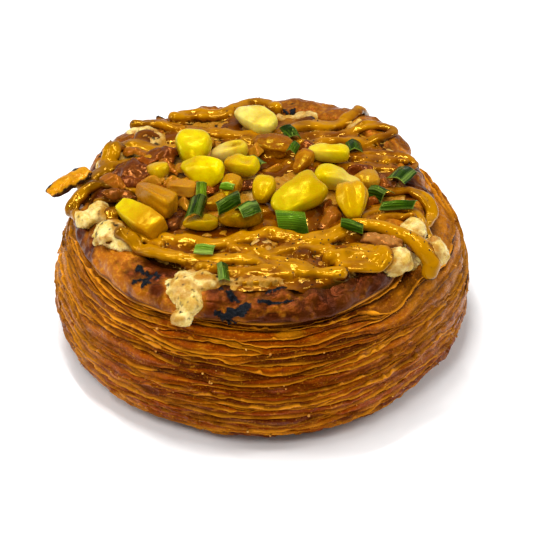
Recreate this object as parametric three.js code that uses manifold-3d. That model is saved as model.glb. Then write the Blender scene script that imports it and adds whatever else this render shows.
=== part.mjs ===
// A savoury danish: a round of flaky laminated dough, filled with soft cheese,
// striped with baked sauce and topped with sweetcorn, browned onion and cut chives.
// Millimetres, +Z up. The origin is the centre of the flat base; -Y is the front.
import * as THREE from "three";
import { mergeVertices } from "three/addons/utils/BufferGeometryUtils.js";
import Module from "manifold-3d";

const wasm = await Module();
wasm.setup();

// Driving sizes.
const BASE_RADIUS = 40.5; // the flat foot
const BELLY_RADIUS = 47.3; // the widest ring of the side
const BELLY_HEIGHT = 11.5;
const LIP_HEIGHT = 31.5; // underside of the crust that caps the roll
const CRUST_RISE = 4.9; // from that lip to the top of the crust
const DISH_FLOOR = 34.0; // the shallow dish that holds the filling
const LAYERS = 12; // dough leaves that stand out on the side
const LEAF_DEPTH = 1.2; // how far a leaf stands out from the groove under it
const ROUND_STEPS = 60;
const GAP = 0.3; // between pieces that touch

const rad = THREE.MathUtils.degToRad;
const bump = (angle, centre, width) => {
  const away = Math.atan2(Math.sin(angle - rad(centre)), Math.cos(angle - rad(centre)));
  return Math.exp(-((away / rad(width)) ** 2));
};

// ---------- from three.js geometry to solids and back ----------

function solidOf(geometry) {
  const bare = (geometry.index ? geometry.toNonIndexed() : geometry).clone();
  bare.deleteAttribute("normal");
  bare.deleteAttribute("uv");
  const merged = mergeVertices(bare, 1e-4);
  const index = merged.index.array;
  const faces = [];
  for (let i = 0; i < index.length; i += 3) {
    const [a, b, c] = index.slice(i, i + 3);
    if (a !== b && b !== c && c !== a) faces.push(a, b, c);
  }
  const made = (triVerts) =>
    new wasm.Manifold(
      new wasm.Mesh({ numProp: 3, vertProperties: merged.attributes.position.array, triVerts }),
    );
  const solid = made(new Uint32Array(faces));
  return solid.volume() > 0 ? solid : made(new Uint32Array(faces.reverse()));
}

function geometryOf(solid) {
  const mesh = solid.getMesh();
  return new THREE.BufferGeometry()
    .setAttribute("position", new THREE.BufferAttribute(new Float32Array(mesh.vertProperties), 3))
    .setIndex(new THREE.BufferAttribute(new Uint32Array(mesh.triVerts), 1));
}

// The main body of a solid, without the scraps and slivers that a cut can leave.
function largest(solid, slack = 0.03) {
  const simple = solid.asOriginal().simplify(slack);
  const body = simple.decompose().reduce((a, b) => (a.volume() > b.volume() ? a : b));
  const snapped = (value) => Math.round(value * 40) / 40;
  return solidOf(reshaped(geometryOf(body), (...place) => place.map(snapped)));
}

function moved(geometry, at, yaw = 0, pitch = 0, roll = 0) {
  const turn = new THREE.Euler(rad(roll), rad(-pitch), rad(yaw), "ZYX");
  const place = new THREE.Matrix4().compose(
    new THREE.Vector3(...at),
    new THREE.Quaternion().setFromEuler(turn),
    new THREE.Vector3(1, 1, 1),
  );
  return geometry.applyMatrix4(place);
}

// Passes every vertex of a geometry through a function of its own place.
function reshaped(geometry, place) {
  const at = geometry.attributes.position;
  for (let i = 0; i < at.count; i++) at.setXYZ(i, ...place(at.getX(i), at.getY(i), at.getZ(i)));
  return geometry;
}

// ---------- the laminated dough ----------

// The crust cap isn't concentric: it draws in at the right front, where the leaves fan out.
function crustRadius(angle) {
  const reach = 40.7 + 1.5 * Math.cos(angle - rad(-125));
  const drawnIn = 3.6 * bump(angle, -20, 34);
  const ripple = 0.45 * Math.sin(5 * angle + 1) + 0.3 * Math.sin(9 * angle + 2.2);
  return reach - drawnIn + 2.6 * bump(angle, 50, 18) + ripple;
}

const lipHeight = (angle) =>
  LIP_HEIGHT + 1.2 * bump(angle, -20, 34) + 1.1 * bump(angle, 75, 60) + 0.3 * Math.sin(3 * angle);

// Crust rings, from the dark notch under the lip over the rim and down into the dish:
// [inset from the cap's edge, height above the lip]
const CRUST_RINGS = [
  [1.7, -0.5],
  [-0.2, 0.0],
  [-0.5, 1.3],
  [0.1, 2.9],
  [1.7, 4.2],
  [4.2, CRUST_RISE],
  [7.6, CRUST_RISE - 0.1],
];
const DISH_INSET = 9.8;

function crustPoint(angle, ring) {
  const [inset, rise] = CRUST_RINGS[ring];
  const swell = ring > 2 ? 0.35 * Math.sin(4 * angle + ring) : 0;
  return [crustRadius(angle) - inset, lipHeight(angle) + rise + swell];
}

// The side as a smooth curve from the foot (0) to the notch under the crust (1).
function sidePoint(angle, share) {
  const [notchRadius, notchHeight] = crustPoint(angle, 0);
  const wobble = 0.4 * Math.sin(2 * angle + 0.6) + 0.3 * Math.sin(5 * angle + 2);
  const sloped = 2.2 * bump(angle, 15, 60) + 1.5 * bump(angle, 175, 55);
  const tucked = 1.0 * bump(angle, -140, 40) + 0.7 * bump(angle, -45, 25);
  const curve = new THREE.SplineCurve([
    new THREE.Vector2(BASE_RADIUS, 0.7),
    new THREE.Vector2(45.3, 4.2),
    new THREE.Vector2(BELLY_RADIUS, BELLY_HEIGHT),
    new THREE.Vector2(46.7, 20),
    new THREE.Vector2(44.2, 27.5),
    new THREE.Vector2(notchRadius + 0.6, notchHeight),
  ]);
  const point = curve.getPoint(share);
  const drawn = sloped * share ** 1.5 * (1 - share ** 6) + tucked * (1 - share);
  return [point.x + wobble * Math.sin(Math.PI * share) - drawn, point.y];
}

// Each leaf starts at a groove, steps out to its lip and falls back to the next groove.
const LEAF_STEPS = [0, 0.24];

function leafPoint(angle, layer, step) {
  const drift = 0.3 * Math.sin(2 * angle + layer * 1.3) + 0.16 * Math.sin(5 * angle + layer * 2.1);
  const share = (layer + LEAF_STEPS[step] + drift * Math.sin((Math.PI * layer) / LAYERS)) / LAYERS;
  const [radius, height] = sidePoint(angle, Math.min(Math.max(share, 0), 0.985));
  const uneven = 1 + 0.45 * Math.sin(3 * angle + layer * 1.9) * Math.sin(7 * angle + layer);
  return [radius + LEAF_DEPTH * (step ? 0.5 : -0.5) * uneven, height];
}

// Every ring of the dough from the middle of the base to the middle of the dish.
function doughRings() {
  const rings = [() => [0, 0], () => [BASE_RADIUS - 1.2, 0]];
  for (let layer = 0; layer < LAYERS; layer++)
    LEAF_STEPS.forEach((_, step) => rings.push((angle) => leafPoint(angle, layer, step)));
  CRUST_RINGS.forEach((_, ring) => rings.push((angle) => crustPoint(angle, ring)));
  rings.push((angle) => [crustRadius(angle) - DISH_INSET, DISH_FLOOR]);
  rings.push(() => [0, DISH_FLOOR]);
  return rings;
}

// A lathe whose rings are then laid out one by one, as they aren't true circles.
function turned(rings, steps = ROUND_STEPS) {
  const profile = rings.map((_, i) => new THREE.Vector2(i && i < rings.length - 1 ? 1 : 0, i));
  const geometry = new THREE.LatheGeometry(profile, steps);
  const at = geometry.attributes.position;
  for (let i = 0; i <= steps; i++)
    rings.forEach((ring, j) => {
      const angle = (2 * Math.PI * (i % steps)) / steps;
      const [radius, height] = ring(angle);
      const k = i * rings.length + j;
      at.setXYZ(k, radius * Math.cos(angle), radius * Math.sin(angle), height);
    });
  return geometry;
}

// ---------- the soft cheese filling ----------

// Top of the filling at x, y: higher under the heap in the middle, with slow waves.
function fillingTop(x, y) {
  const heap = 2.1 * Math.exp(-(x * x + (y + 4) * (y + 4)) / 520);
  return 36.9 + heap + 0.3 * Math.sin(0.42 * x + 1) * Math.cos(0.37 * y) + 0.2 * Math.sin(0.7 * y - 0.3 * x);
}

const fillingRadius = (angle) =>
  33.4 + 1.4 * Math.sin(3 * angle + 0.4) + 0.8 * Math.sin(7 * angle) - 1.6 * bump(angle, 70, 25);

function fillingBed() {
  const sheet = [0.96, 0.78, 0.55, 0.3].map((share) => (angle) => {
    const radius = share * fillingRadius(angle);
    return [radius, fillingTop(radius * Math.cos(angle), radius * Math.sin(angle))];
  });
  return turned(
    [
      () => [0, DISH_FLOOR + GAP],
      (angle) => [crustRadius(angle) - DISH_INSET - 0.7, DISH_FLOOR + GAP],
      (angle) => [fillingRadius(angle), 36.4],
      ...sheet,
      () => [0, fillingTop(0, 0)],
    ],
    32,
  );
}

// Lumps of cheese that show between the stripes and over the rim: [x, y, z, radius, flatness]
const CHEESE_LUMPS = [
  [-38.6, -10.6, 36.6, 2.4, 0.9],
  [-33.2, -17.2, 36.7, 4.0, 0.75],
  [-36.0, -8.0, 36.8, 2.8, 0.6],
  [-29.6, -20.0, 36.8, 2.5, 0.8],
  [-16.5, -34.2, 36.2, 3.4, 0.5],
  [-11.8, -33.6, 36.4, 3.4, 0.45],
  [-15.3, -38.8, 35.4, 2.9, 0.8],
  [-16.3, -41.6, 33.2, 2.3, 0.9],
  [28.8, -25.0, 36.2, 4.0, 0.75],
  [33.4, -14.6, 36.6, 3.2, 0.8],
  [37.4, -21.2, 35.2, 3.4, 0.9],
  [22.5, 25.4, 36.4, 2.8, 0.8],
  [-26.4, 20.2, 36.9, 3.5, 0.6],
  [-33.0, 13.4, 37.2, 2.0, 0.9],
  [9.0, -26.0, 37.6, 1.9, 0.8],
  [0.4, -22.8, 37.9, 2.2, 0.7],
  [10.5, 28.6, 36.8, 2.7, 0.5],
];

function cheeseLump([x, y, z, radius, flatness], seed) {
  return reshaped(new THREE.IcosahedronGeometry(1, 1), (a, b, c) => {
    const uneven = radius * (1 + 0.14 * Math.sin(3 * a + seed) * Math.cos(4 * b - seed));
    return [x + uneven * a, y + uneven * b, z + uneven * flatness * c];
  });
}

// ---------- the baked sauce ----------

// Height of what carries the sauce at x, y: filling, cheese lumps, crust, or the side below it.
function carrierTop(x, y) {
  const angle = Math.atan2(y, x);
  const radius = Math.hypot(x, y);
  const outside = radius - crustRadius(angle);
  const last = CRUST_RINGS.length - 1;
  let top = outside < -8 ? 0 : crustPoint(angle, last)[1];
  for (let ring = 2; ring < last; ring++) {
    const [r0, z0] = crustPoint(angle, ring);
    const [r1, z1] = crustPoint(angle, ring + 1);
    if (radius <= r0 && radius >= r1) top = z1 + ((z0 - z1) * (radius - r1)) / (r0 - r1);
  }
  if (outside > 0.5) top = lipHeight(angle) + 1.3 - 1.2 * (outside - 0.5);
  if (radius < fillingRadius(angle)) top = Math.max(top, fillingTop(x, y));
  for (const [cx, cy, cz, size, flatness] of CHEESE_LUMPS) {
    const reach = ((x - cx) ** 2 + (y - cy) ** 2) / size ** 2;
    if (reach < 1) top = Math.max(top, cz + size * flatness * Math.sqrt(1 - reach));
  }
  return top;
}

// Where the piping bag went, back and forth from the back of the round to its front:
// the stripe's radius, then the points that it passes, as [x, y].
const SAUCE_STRIPES = [
  [1.15, [-20.5, 28.3], [-15, 30], [-9, 30.6], [-5, 34], [-1.5, 36], [3.5, 33]],
  [1.15, [-29.5, 26], [-24, 26], [-16, 23.5], [-8, 21.3], [0, 20.4], [7, 23], [14, 25], [19, 27], [24.4, 35]],
  [0.95, [-4, 17.8], [4, 18.6], [12, 20.8], [20, 22.4], [26.6, 24.4], [30.4, 22.4], [27.5, 19.8], [9, 17]],
  [0.85, [-3, 12.6], [8, 12.4], [15, 11.6], [22, 13], [30, 13], [35.4, 10], [33.6, 7.2], [27, 8], [6, 8.6]],
  [0.8, [21.4, 10.8], [27, 10.9], [33, 9.9]],
  [1.2, [22, -1.6], [28, -2.2], [33.5, -2], [37.6, -5.4], [36.8, -9]],
  [1.15, [20, -12.8], [26, -9], [31.5, -8.2], [36, -11.2], [38.3, -15.6], [37.8, -18.6]],
  [1.0, [19, -15.8], [25, -12.6], [29, -11.6], [33.4, -11.8]],
  [1.5, [-21, -19.8], [-15, -21.6], [-9, -22], [-4, -20], [3, -19.4], [10, -20.8], [15, -19.6], [19, -17]],
  [1.3, [-6, -23.6], [1, -25], [8, -23.2], [15, -23.8], [21, -23.6], [25, -25], [26.6, -27.2], [24, -29], [17, -28.8]],
  [1.5, [17.2, -32], [11, -31.4], [5, -29.6], [0, -27.6], [-7, -27.6], [-14, -27], [-21, -25.2], [-30.5, -19.6]],
  [1.1, [6, -32.6], [0, -31.8], [-7, -30.8], [-13, -30]],
  [1.4, [-35.4, 7.6], [-34.8, 12], [-32.2, 15.6], [-28, 16.2], [-24, 14.8], [-18, 14.6], [-12, 16.6]],
  [1.5, [-40.6, 3.4], [-37, 6.8], [-32, 9], [-25, 10]],
  [1.35, [-40.8, -8], [-42, -3.8], [-39.6, 0.8], [-35.4, 2.6], [-31, 0.4], [-26.5, -2.4]],
  [1.1, [-36.6, -4], [-33.5, -2.8], [-29, -5], [-23, -7]],
  [1.1, [-26, -13], [-30.5, -7.8], [-33.4, -9.8], [-31, -13.4], [-27, -17.4], [-22, -22]],
];

// The thick stripe that arches over the cheese at the right and drips over the rim,
// with the height of each point.
const SAUCE_DRIP = [
  1.45,
  [16, -18.4, 38.6],
  [20, -16.6, 39.2],
  [25, -17.0, 39.2],
  [29.6, -18.8, 39.0],
  [33, -20.6, 38.4],
  [35.6, -22.8, 36.8],
  [36.6, -23.8, 34.8],
  [36.6, -24.6, 32.6],
];

// A strand of sauce, six-sided in section.
function strand(radius, points) {
  const section = new THREE.Shape(
    Array.from({ length: 6 }, (_, i) => {
      const angle = (i * Math.PI) / 3;
      return new THREE.Vector2(radius * Math.cos(angle), radius * Math.sin(angle));
    }),
  );
  return new THREE.ExtrudeGeometry(section, {
    steps: points.length,
    bevelEnabled: false,
    extrudePath: new THREE.CatmullRomCurve3(points),
  });
}

const sauceDrip = ([radius, ...route]) =>
  strand(radius, route.map((point) => new THREE.Vector3(...point)));

function sauceStripe([radius, ...route]) {
  const flat = new THREE.CatmullRomCurve3(route.map(([x, y]) => new THREE.Vector3(x, y, 0)));
  const samples = Math.max(3, Math.round(flat.getLength() / 3.4));
  const laid = flat.getSpacedPoints(samples).map((p) => {
    const top = Math.max(carrierTop(p.x - 0.8, p.y), carrierTop(p.x + 0.8, p.y), carrierTop(p.x, p.y));
    return new THREE.Vector3(p.x, p.y, top + 0.5 * radius);
  });
  return strand(radius, laid);
}

// ---------- sweetcorn ----------

// [x, y, z, length, width, thickness, yaw, pitch, roll]; the blunt crown points along the yaw.
const CORN = [
  [-1.5, 24.6, 40.2, 11.2, 8.0, 5.2, -35, 0, 12],
  [-15.6, 8.4, 42.2, 9.4, 9.6, 7.0, 80, 28, 0],
  [-13.4, 0.2, 42.4, 10.2, 9.4, 6.2, -25, 8, 22],
  [-7.2, 9.8, 41.0, 8.2, 5.4, 4.6, 18, 6, -8],
  [-4.2, 3.4, 41.8, 8.4, 6.2, 5.2, -22, 10, 6],
  [0.3, -6.6, 41.6, 7.4, 6.4, 6.0, 78, 12, 0],
  [8.2, -8.8, 42.0, 13.0, 11.0, 6.6, 34, 14, 16],
  [15.4, 9.6, 40.8, 9.2, 5.6, 5.0, -4, 0, 0],
  [17.4, -1.2, 41.0, 10.4, 6.6, 5.4, 165, 4, 0],
  [20.0, -10.2, 41.4, 9.6, 8.0, 5.6, 98, 24, -6],
  [-26.6, -15.0, 40.2, 12.6, 6.4, 5.6, -42, -6, 20],
  [-23.4, -9.2, 41.4, 11.6, 7.0, 5.8, -40, -4, -16],
  [-18.0, -4.8, 41.2, 7.6, 5.2, 3.6, -8, 0, -10],
  [-23.4, 2.0, 41.0, 6.2, 5.6, 4.6, -55, 18, 0],
  [-13.2, -16.2, 39.8, 8.4, 5.8, 4.2, 4, 0, -12],
  [-4.6, -14.6, 40.4, 10.2, 8.4, 5.6, 14, 0, -18],
  [9.4, 6.8, 40.4, 6.8, 5.2, 5.0, 62, 10, 0],
  [2.6, 14.0, 39.8, 9.0, 6.8, 5.2, -30, 0, 14],
  [-6.8, -3.6, 40.4, 7.0, 5.6, 5.0, 70, 10, 0],
  [-10.6, -9.0, 40.0, 5.8, 4.6, 4.0, 20, 0, 10],
  [23.6, 0.8, 39.4, 6.6, 5.6, 4.0, 15, 0, 10],
];

// A kernel is a blunt tooth: boxy in section, wide at the crown, narrow at the tip,
// with a dent in its upper face towards the crown.
function cornKernel(length, width, thickness, grow = 0) {
  return reshaped(new THREE.SphereGeometry(1, 8, 7), (a, b, c) => {
    const along = b;
    const section = Math.max(Math.hypot(a, c), 1e-6);
    const squareness = Math.max(Math.abs(a), Math.abs(c), 1e-6) / section;
    const taper = 0.83 + 0.2 * along - 0.06 * along * along;
    const side = (section ** -0.28 * taper) / squareness ** 0.35;
    const dent = 0.16 * thickness * Math.exp(-(((along - 0.3) / 0.4) ** 2) - (a / 0.5) ** 2);
    return [
      along * (length / 2 + grow),
      a * side * (width / 2 + grow),
      c * side * (thickness / 2 + grow) - (c > 0 ? dent : 0),
    ];
  });
}

const cornAt = ([x, y, z, length, width, thickness, ...turn], grow) =>
  moved(cornKernel(length, width, thickness, grow), [x, y, z], ...turn);

// ---------- onion and chives ----------

// A curled strip, rippled and thinner at its long edges. A torn one narrows to its ends,
// and a cut one ends square or on a slant.
function wavyStrip({ length, width, thick, curl, ripple, cells, torn = 1, slant = 0, grow = 0 }) {
  const box = new THREE.BoxGeometry(1, 1, 1, cells[0], cells[1], 1);
  return reshaped(box, (a, b, c) => {
    const x = a * (length + 2 * grow) + slant * b * width;
    const y = b * (width + 2 * grow) * (1 - 0.45 * torn * (2 * a) ** 4);
    const waves = ripple * Math.sin(7 * a + 2) * Math.cos(4 * b);
    const rise = waves - curl * (4 * b * b) - (0.1 + 0.4 * torn) * curl * (4 * a * a);
    return [x, y, rise + c * (thick * (1 - 0.5 * (2 * b) ** 2) + 2 * grow)];
  });
}

// [x, y, z, length, width, curl, ripple, yaw, pitch, roll]
const ONION = [
  [-29.4, 3.2, 40.4, 9.8, 8.2, 1.4, 0.7, -52, 6, 16],
  [-23.6, 11.4, 39.6, 7.4, 5.4, 1.2, 0.5, 24, 8, -20],
  [-23.8, -4.2, 40.0, 6.4, 4.6, 0.8, 0.5, 28, 0, 0],
  [-18.4, -13.2, 38.8, 8.6, 3.4, 0.7, 0.5, 72, 0, 20],
  [-31.8, -4.4, 39.4, 8.2, 3.0, 0.6, 0.6, -14, 0, 0],
  [15.6, -13.6, 39.4, 7.4, 4.2, 0.9, 0.4, 66, 10, 26],
  [-3.0, -1.8, 40.0, 4.4, 3.6, 0.5, 0.3, 10, 0, 0],
  [12.4, 3.4, 39.6, 4.8, 3.4, 0.5, 0.4, 80, 0, 0],
  [26.2, -21.0, 38.8, 8.6, 3.6, 0.5, 0.4, -12, 0, 10],
  [28.0, 1.2, 38.4, 4.6, 4.2, 0.5, 0.4, 60, 0, 0],
];
const ONION_THICKNESS = 1.5;

const onionAt = ([x, y, z, length, width, curl, ripple, ...turn], grow) =>
  moved(
    wavyStrip({ length, width, thick: ONION_THICKNESS, curl, ripple, cells: [4, 2], grow }),
    [x, y, z],
    ...turn,
  );

// The slice of sauce-coated onion that sticks out over the rim at the left, charred at its edge.
const CHARRED_SLICE = { length: 10.8, width: 4.6, thick: 1.3, curl: 0.6, ripple: 0.5, cells: [5, 2] };
const charredSlice = () => moved(wavyStrip(CHARRED_SLICE), [-43.4, 2.0, 52], 38, 12, 10);

// [x, y, length, width, curl, slant, yaw, pitch, roll]; each comes to rest on what is under it.
const CHIVES = [
  [-13.2, -8.6, 4.6, 2.4, 0.3, 0.1, 88, 34, 0],
  [-14.0, -14.4, 5.4, 3.6, 0.9, -0.4, 76, 20, 14],
  [-7.4, -5.8, 3.2, 1.9, 0.2, 0.1, -16, 4, 0],
  [-7.2, -12.8, 6.2, 3.8, 0.7, 0.5, 38, 6, 10],
  [-2.9, -15.4, 5.4, 4.6, 0.5, 0.3, 42, -8, -10],
  [6.7, -16.6, 6.6, 5.2, 1.2, -0.3, -8, 0, 34],
  [7.0, 19.0, 4.2, 3.2, 0.9, 0.4, 118, 8, 16],
  [7.2, 9.4, 3.0, 2.4, 0.6, 0, 66, 10, 0],
  [21.4, 14.8, 4.4, 3.8, 0.4, 0, 96, -4, 4],
  [31.6, 2.6, 6.0, 5.4, 0.5, 0.2, 58, -4, -6],
  [26.3, -4.6, 4.6, 4.0, 1.0, 0.3, -40, 8, 12],
  [30.4, -8.8, 7.6, 2.4, 0.4, 0.6, 4, 0, 10],
  [19.8, -18.4, 5.2, 2.8, 0.8, -0.3, -22, -4, 10],
  [-12.0, -26.4, 4.2, 2.7, 0.3, 0.2, -6, 0, 8],
  [-8.0, -33.0, 5.2, 2.4, 0.2, 0.1, 96, 6, 0],
  [-1.0, 7.6, 5.6, 1.8, 0.3, 0.3, -60, 10, 30],
];
const CHIVE_THICKNESS = 0.55;

const chiveAt = ([x, y, length, width, curl, slant, ...turn], z) => {
  const size = { length, width, thick: CHIVE_THICKNESS, cells: [2, 2] };
  return moved(wavyStrip({ ...size, curl, slant, ripple: 0.15, torn: 0 }), [x, y, z], ...turn);
};

// Lets a piece down from above until the support stops it, and leaves the gap.
function atRest(solid, support) {
  const touches = (z) => !solid.translate(0, 0, z).intersect(support).isEmpty();
  let z = 0;
  while (!touches(z - 0.4)) z -= 0.4;
  let stopped = z - 0.4;
  for (let i = 0; i < 6; i++) {
    const middle = (z + stopped) / 2;
    if (touches(middle)) stopped = middle;
    else z = middle;
  }
  return solid.translate(0, 0, z + GAP);
}

// ---------- assembly ----------

const join = (solids) => wasm.Manifold.union(solids);

const dough = solidOf(turned(doughRings()));

// Kernels first, then onion cut clear of them, so that no two pieces share space.
function nested(rows, shape, taken) {
  const placed = [];
  for (const row of rows) {
    const keepOut = join([...taken, ...placed.map((_, i) => solidOf(shape(rows[i], GAP)))]);
    placed.push(largest(solidOf(shape(row, 0)).subtract(keepOut)));
  }
  return placed;
}

const corn = nested(CORN, cornAt, []);
const grownCorn = CORN.map((row) => solidOf(cornAt(row, GAP)));
const onion = nested(ONION, onionAt, grownCorn);
const grownOnion = ONION.map((row) => solidOf(onionAt(row, GAP)));

// What the filling keeps clear of: the dough, a gap higher and wider, and the toppings.
function doughClearance() {
  const rings = CRUST_RINGS.map((_, ring) => (angle) => {
    const [radius, height] = crustPoint(angle, ring);
    return [radius + (ring < 5 ? GAP : -GAP), height + GAP];
  });
  const wall = (share, out) => (angle) => {
    const [radius, height] = sidePoint(angle, share);
    return [radius + out, height];
  };
  return turned([
    () => [0, 18],
    wall(0.6, 1.2),
    wall(0.86, 1.2),
    ...rings,
    (angle) => [crustRadius(angle) - DISH_INSET - 1.4 * GAP, DISH_FLOOR + 0.8 * GAP],
    () => [0, DISH_FLOOR + 0.8 * GAP],
  ]);
}

const clearance = solidOf(doughClearance());
const poured = join([
  solidOf(fillingBed()),
  ...CHEESE_LUMPS.map((lump, i) => solidOf(cheeseLump(lump, i))),
  ...SAUCE_STRIPES.map((stripe) => solidOf(sauceStripe(stripe))),
  solidOf(sauceDrip(SAUCE_DRIP)),
]);
const cut = poured.subtract(join([clearance, ...grownCorn, ...grownOnion]));
const filling = largest(cut, 0.12);

const slice = atRest(solidOf(charredSlice()), join([dough, filling]));

// Chives settle one after another on everything that is already there.
const chives = [];
for (const row of CHIVES) {
  const support = join([dough, filling, slice, ...corn, ...onion, ...chives]);
  chives.push(atRest(solidOf(chiveAt(row, 52)), support));
}

const FINISH = {
  dough: { color: 0xa85a1e, roughness: 0.55 },
  filling: { color: 0xc98a22, roughness: 0.25 },
  corn: { color: 0xe8c81c, roughness: 0.25 },
  onion: { color: 0x8a4a1e, roughness: 0.3 },
  chive: { color: 0x3c6e1e, roughness: 0.4 },
};

const danish = new THREE.Group();
danish.name = "danish";

function add(name, solid, finish) {
  const mesh = new THREE.Mesh(
    geometryOf(solid),
    new THREE.MeshStandardMaterial({ ...FINISH[finish], metalness: 0 }),
  );
  mesh.name = name;
  danish.add(mesh);
}

const numbered = (name, i) => `${name}_${String(i + 1).padStart(2, "0")}`;
add("laminated_dough", dough, "dough");
add("cheese_and_sauce", filling, "filling");
corn.forEach((solid, i) => add(numbered("corn_kernel", i), solid, "corn"));
onion.forEach((solid, i) => add(numbered("browned_onion", i), solid, "onion"));
add("charred_slice", slice, "onion");
chives.forEach((solid, i) => add(numbered("chive", i), solid, "chive"));

export default danish;
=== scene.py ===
"""A savoury danish on a white table: flaky laminated dough, soft cheese, stripes of baked
sauce, sweetcorn, browned onion and cut chives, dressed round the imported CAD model.

Shapes are worked out in millimetres and angles round the pastry, and become metres when
a mesh is made. -Y is the front, where the camera stands."""

import math

import bpy
import numpy as np
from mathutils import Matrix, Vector


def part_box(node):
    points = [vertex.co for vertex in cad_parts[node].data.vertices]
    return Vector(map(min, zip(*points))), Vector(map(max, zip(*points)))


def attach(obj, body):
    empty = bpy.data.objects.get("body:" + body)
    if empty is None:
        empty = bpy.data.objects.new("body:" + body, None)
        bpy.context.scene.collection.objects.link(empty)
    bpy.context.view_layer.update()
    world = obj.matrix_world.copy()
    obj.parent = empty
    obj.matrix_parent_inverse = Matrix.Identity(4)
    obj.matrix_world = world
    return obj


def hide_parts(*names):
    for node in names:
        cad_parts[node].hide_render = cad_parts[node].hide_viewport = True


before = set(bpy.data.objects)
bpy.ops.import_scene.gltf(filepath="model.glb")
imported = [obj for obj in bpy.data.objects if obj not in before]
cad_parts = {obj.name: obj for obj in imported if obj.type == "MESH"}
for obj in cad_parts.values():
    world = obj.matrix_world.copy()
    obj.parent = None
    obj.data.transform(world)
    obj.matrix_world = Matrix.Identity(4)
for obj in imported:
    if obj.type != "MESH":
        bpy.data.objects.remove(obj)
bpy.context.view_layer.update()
MM = 0.001
rad = math.radians

# ---------- sizes shared with the CAD source, mm ----------

BASE_RADIUS = 40.5
BELLY_RADIUS = 47.3
BELLY_HEIGHT = 11.5
LIP_HEIGHT = 31.5
DISH_FLOOR = 34.0
DISH_INSET = 9.8
# The crust from the notch under its lip to the dish: inset from its edge, rise over the lip
CRUST_RINGS = [(1.7, -0.5), (-0.2, 0.0), (-0.5, 1.3), (0.1, 2.9), (1.7, 4.2), (4.2, 4.9), (7.6, 4.8)]

# Lumps of cheese: x, y, z, radius, flatness
CHEESE_LUMPS = [
    (-38.6, -10.6, 36.6, 2.4, 0.9),
    (-33.2, -17.2, 36.7, 4.0, 0.75),
    (-36.0, -8.0, 36.8, 2.8, 0.6),
    (-29.6, -20.0, 36.8, 2.5, 0.8),
    (-16.5, -34.2, 36.2, 3.4, 0.5),
    (-11.8, -33.6, 36.4, 3.4, 0.45),
    (-15.3, -38.8, 35.4, 2.9, 0.8),
    (-16.3, -41.6, 33.2, 2.3, 0.9),
    (28.8, -25.0, 36.2, 4.0, 0.75),
    (33.4, -14.6, 36.6, 3.2, 0.8),
    (37.4, -21.2, 35.2, 3.4, 0.9),
    (22.5, 25.4, 36.4, 2.8, 0.8),
    (-26.4, 20.2, 36.9, 3.5, 0.6),
    (-33.0, 13.4, 37.2, 2.0, 0.9),
    (9.0, -26.0, 37.6, 1.9, 0.8),
    (0.4, -22.8, 37.9, 2.2, 0.7),
    (10.5, 28.6, 36.8, 2.7, 0.5),
]

# Stripes of sauce as the bag piped them: radius, then x, y of the points passed. The CAD has
# them too, but for the short one that fills the inside of the U-turn at the front right.
SAUCE_STRIPES = [
    (1.15, (-20.5, 28.3), (-15, 30), (-9, 30.6), (-5, 34), (-1.5, 36), (3.5, 33)),
    (1.15, (-29.5, 26), (-24, 26), (-16, 23.5), (-8, 21.3), (0, 20.4), (7, 23), (14, 25), (19, 27),
     (24.4, 35)),
    (0.95, (-4, 17.8), (4, 18.6), (12, 20.8), (20, 22.4), (26.6, 24.4), (30.4, 22.4), (27.5, 19.8), (9, 17)),
    (0.85, (-3, 12.6), (8, 12.4), (15, 11.6), (22, 13), (30, 13), (35.4, 10), (33.6, 7.2), (27, 8),
     (6, 8.6)),
    (0.8, (21.4, 10.8), (27, 10.9), (33, 9.9)),
    (1.2, (22, -1.6), (28, -2.2), (33.5, -2), (37.6, -5.4), (36.8, -9)),
    (1.15, (20, -12.8), (26, -9), (31.5, -8.2), (36, -11.2), (38.3, -15.6), (37.8, -18.6)),
    (1.0, (19, -15.8), (25, -12.6), (29, -11.6), (33.4, -11.8)),
    (1.5, (-21, -19.8), (-15, -21.6), (-9, -22), (-4, -20), (3, -19.4), (10, -20.8), (15, -19.6), (19, -17)),
    (1.3, (-6, -23.6), (1, -25), (8, -23.2), (15, -23.8), (21, -23.6), (25, -25), (26.6, -27.2),
     (24, -29), (17, -28.8)),
    (1.6, (15, -26.8), (20, -26.8), (24.8, -27)),
    (1.5, (17.2, -32), (11, -31.4), (5, -29.6), (0, -27.6), (-7, -27.6), (-14, -27), (-21, -25.2),
     (-30.5, -19.6)),
    (1.1, (6, -32.6), (0, -31.8), (-7, -30.8), (-13, -30)),
    (1.4, (-35.4, 7.6), (-34.8, 12), (-32.2, 15.6), (-28, 16.2), (-24, 14.8), (-18, 14.6), (-12, 16.6)),
    (1.5, (-40.6, 3.4), (-37, 6.8), (-32, 9), (-25, 10)),
    (1.35, (-40.8, -8), (-42, -3.8), (-39.6, 0.8), (-35.4, 2.6), (-31, 0.4), (-26.5, -2.4)),
    (1.1, (-36.6, -4), (-33.5, -2.8), (-29, -5), (-23, -7)),
    (1.1, (-26, -13), (-30.5, -7.8), (-33.4, -9.8), (-31, -13.4), (-27, -17.4), (-22, -22)),
]
# The thick stripe that arches over the cheese and drips over the rim, with its heights.
SAUCE_DRIP = (
    1.45,
    (16, -18.4, 38.6),
    (20, -16.6, 39.2),
    (25, -17.0, 39.2),
    (29.6, -18.8, 39.0),
    (33, -20.6, 38.4),
    (35.6, -22.8, 36.8),
    (36.6, -23.8, 34.8),
    (36.6, -24.6, 32.6),
)

# ---------- noise ----------


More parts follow.
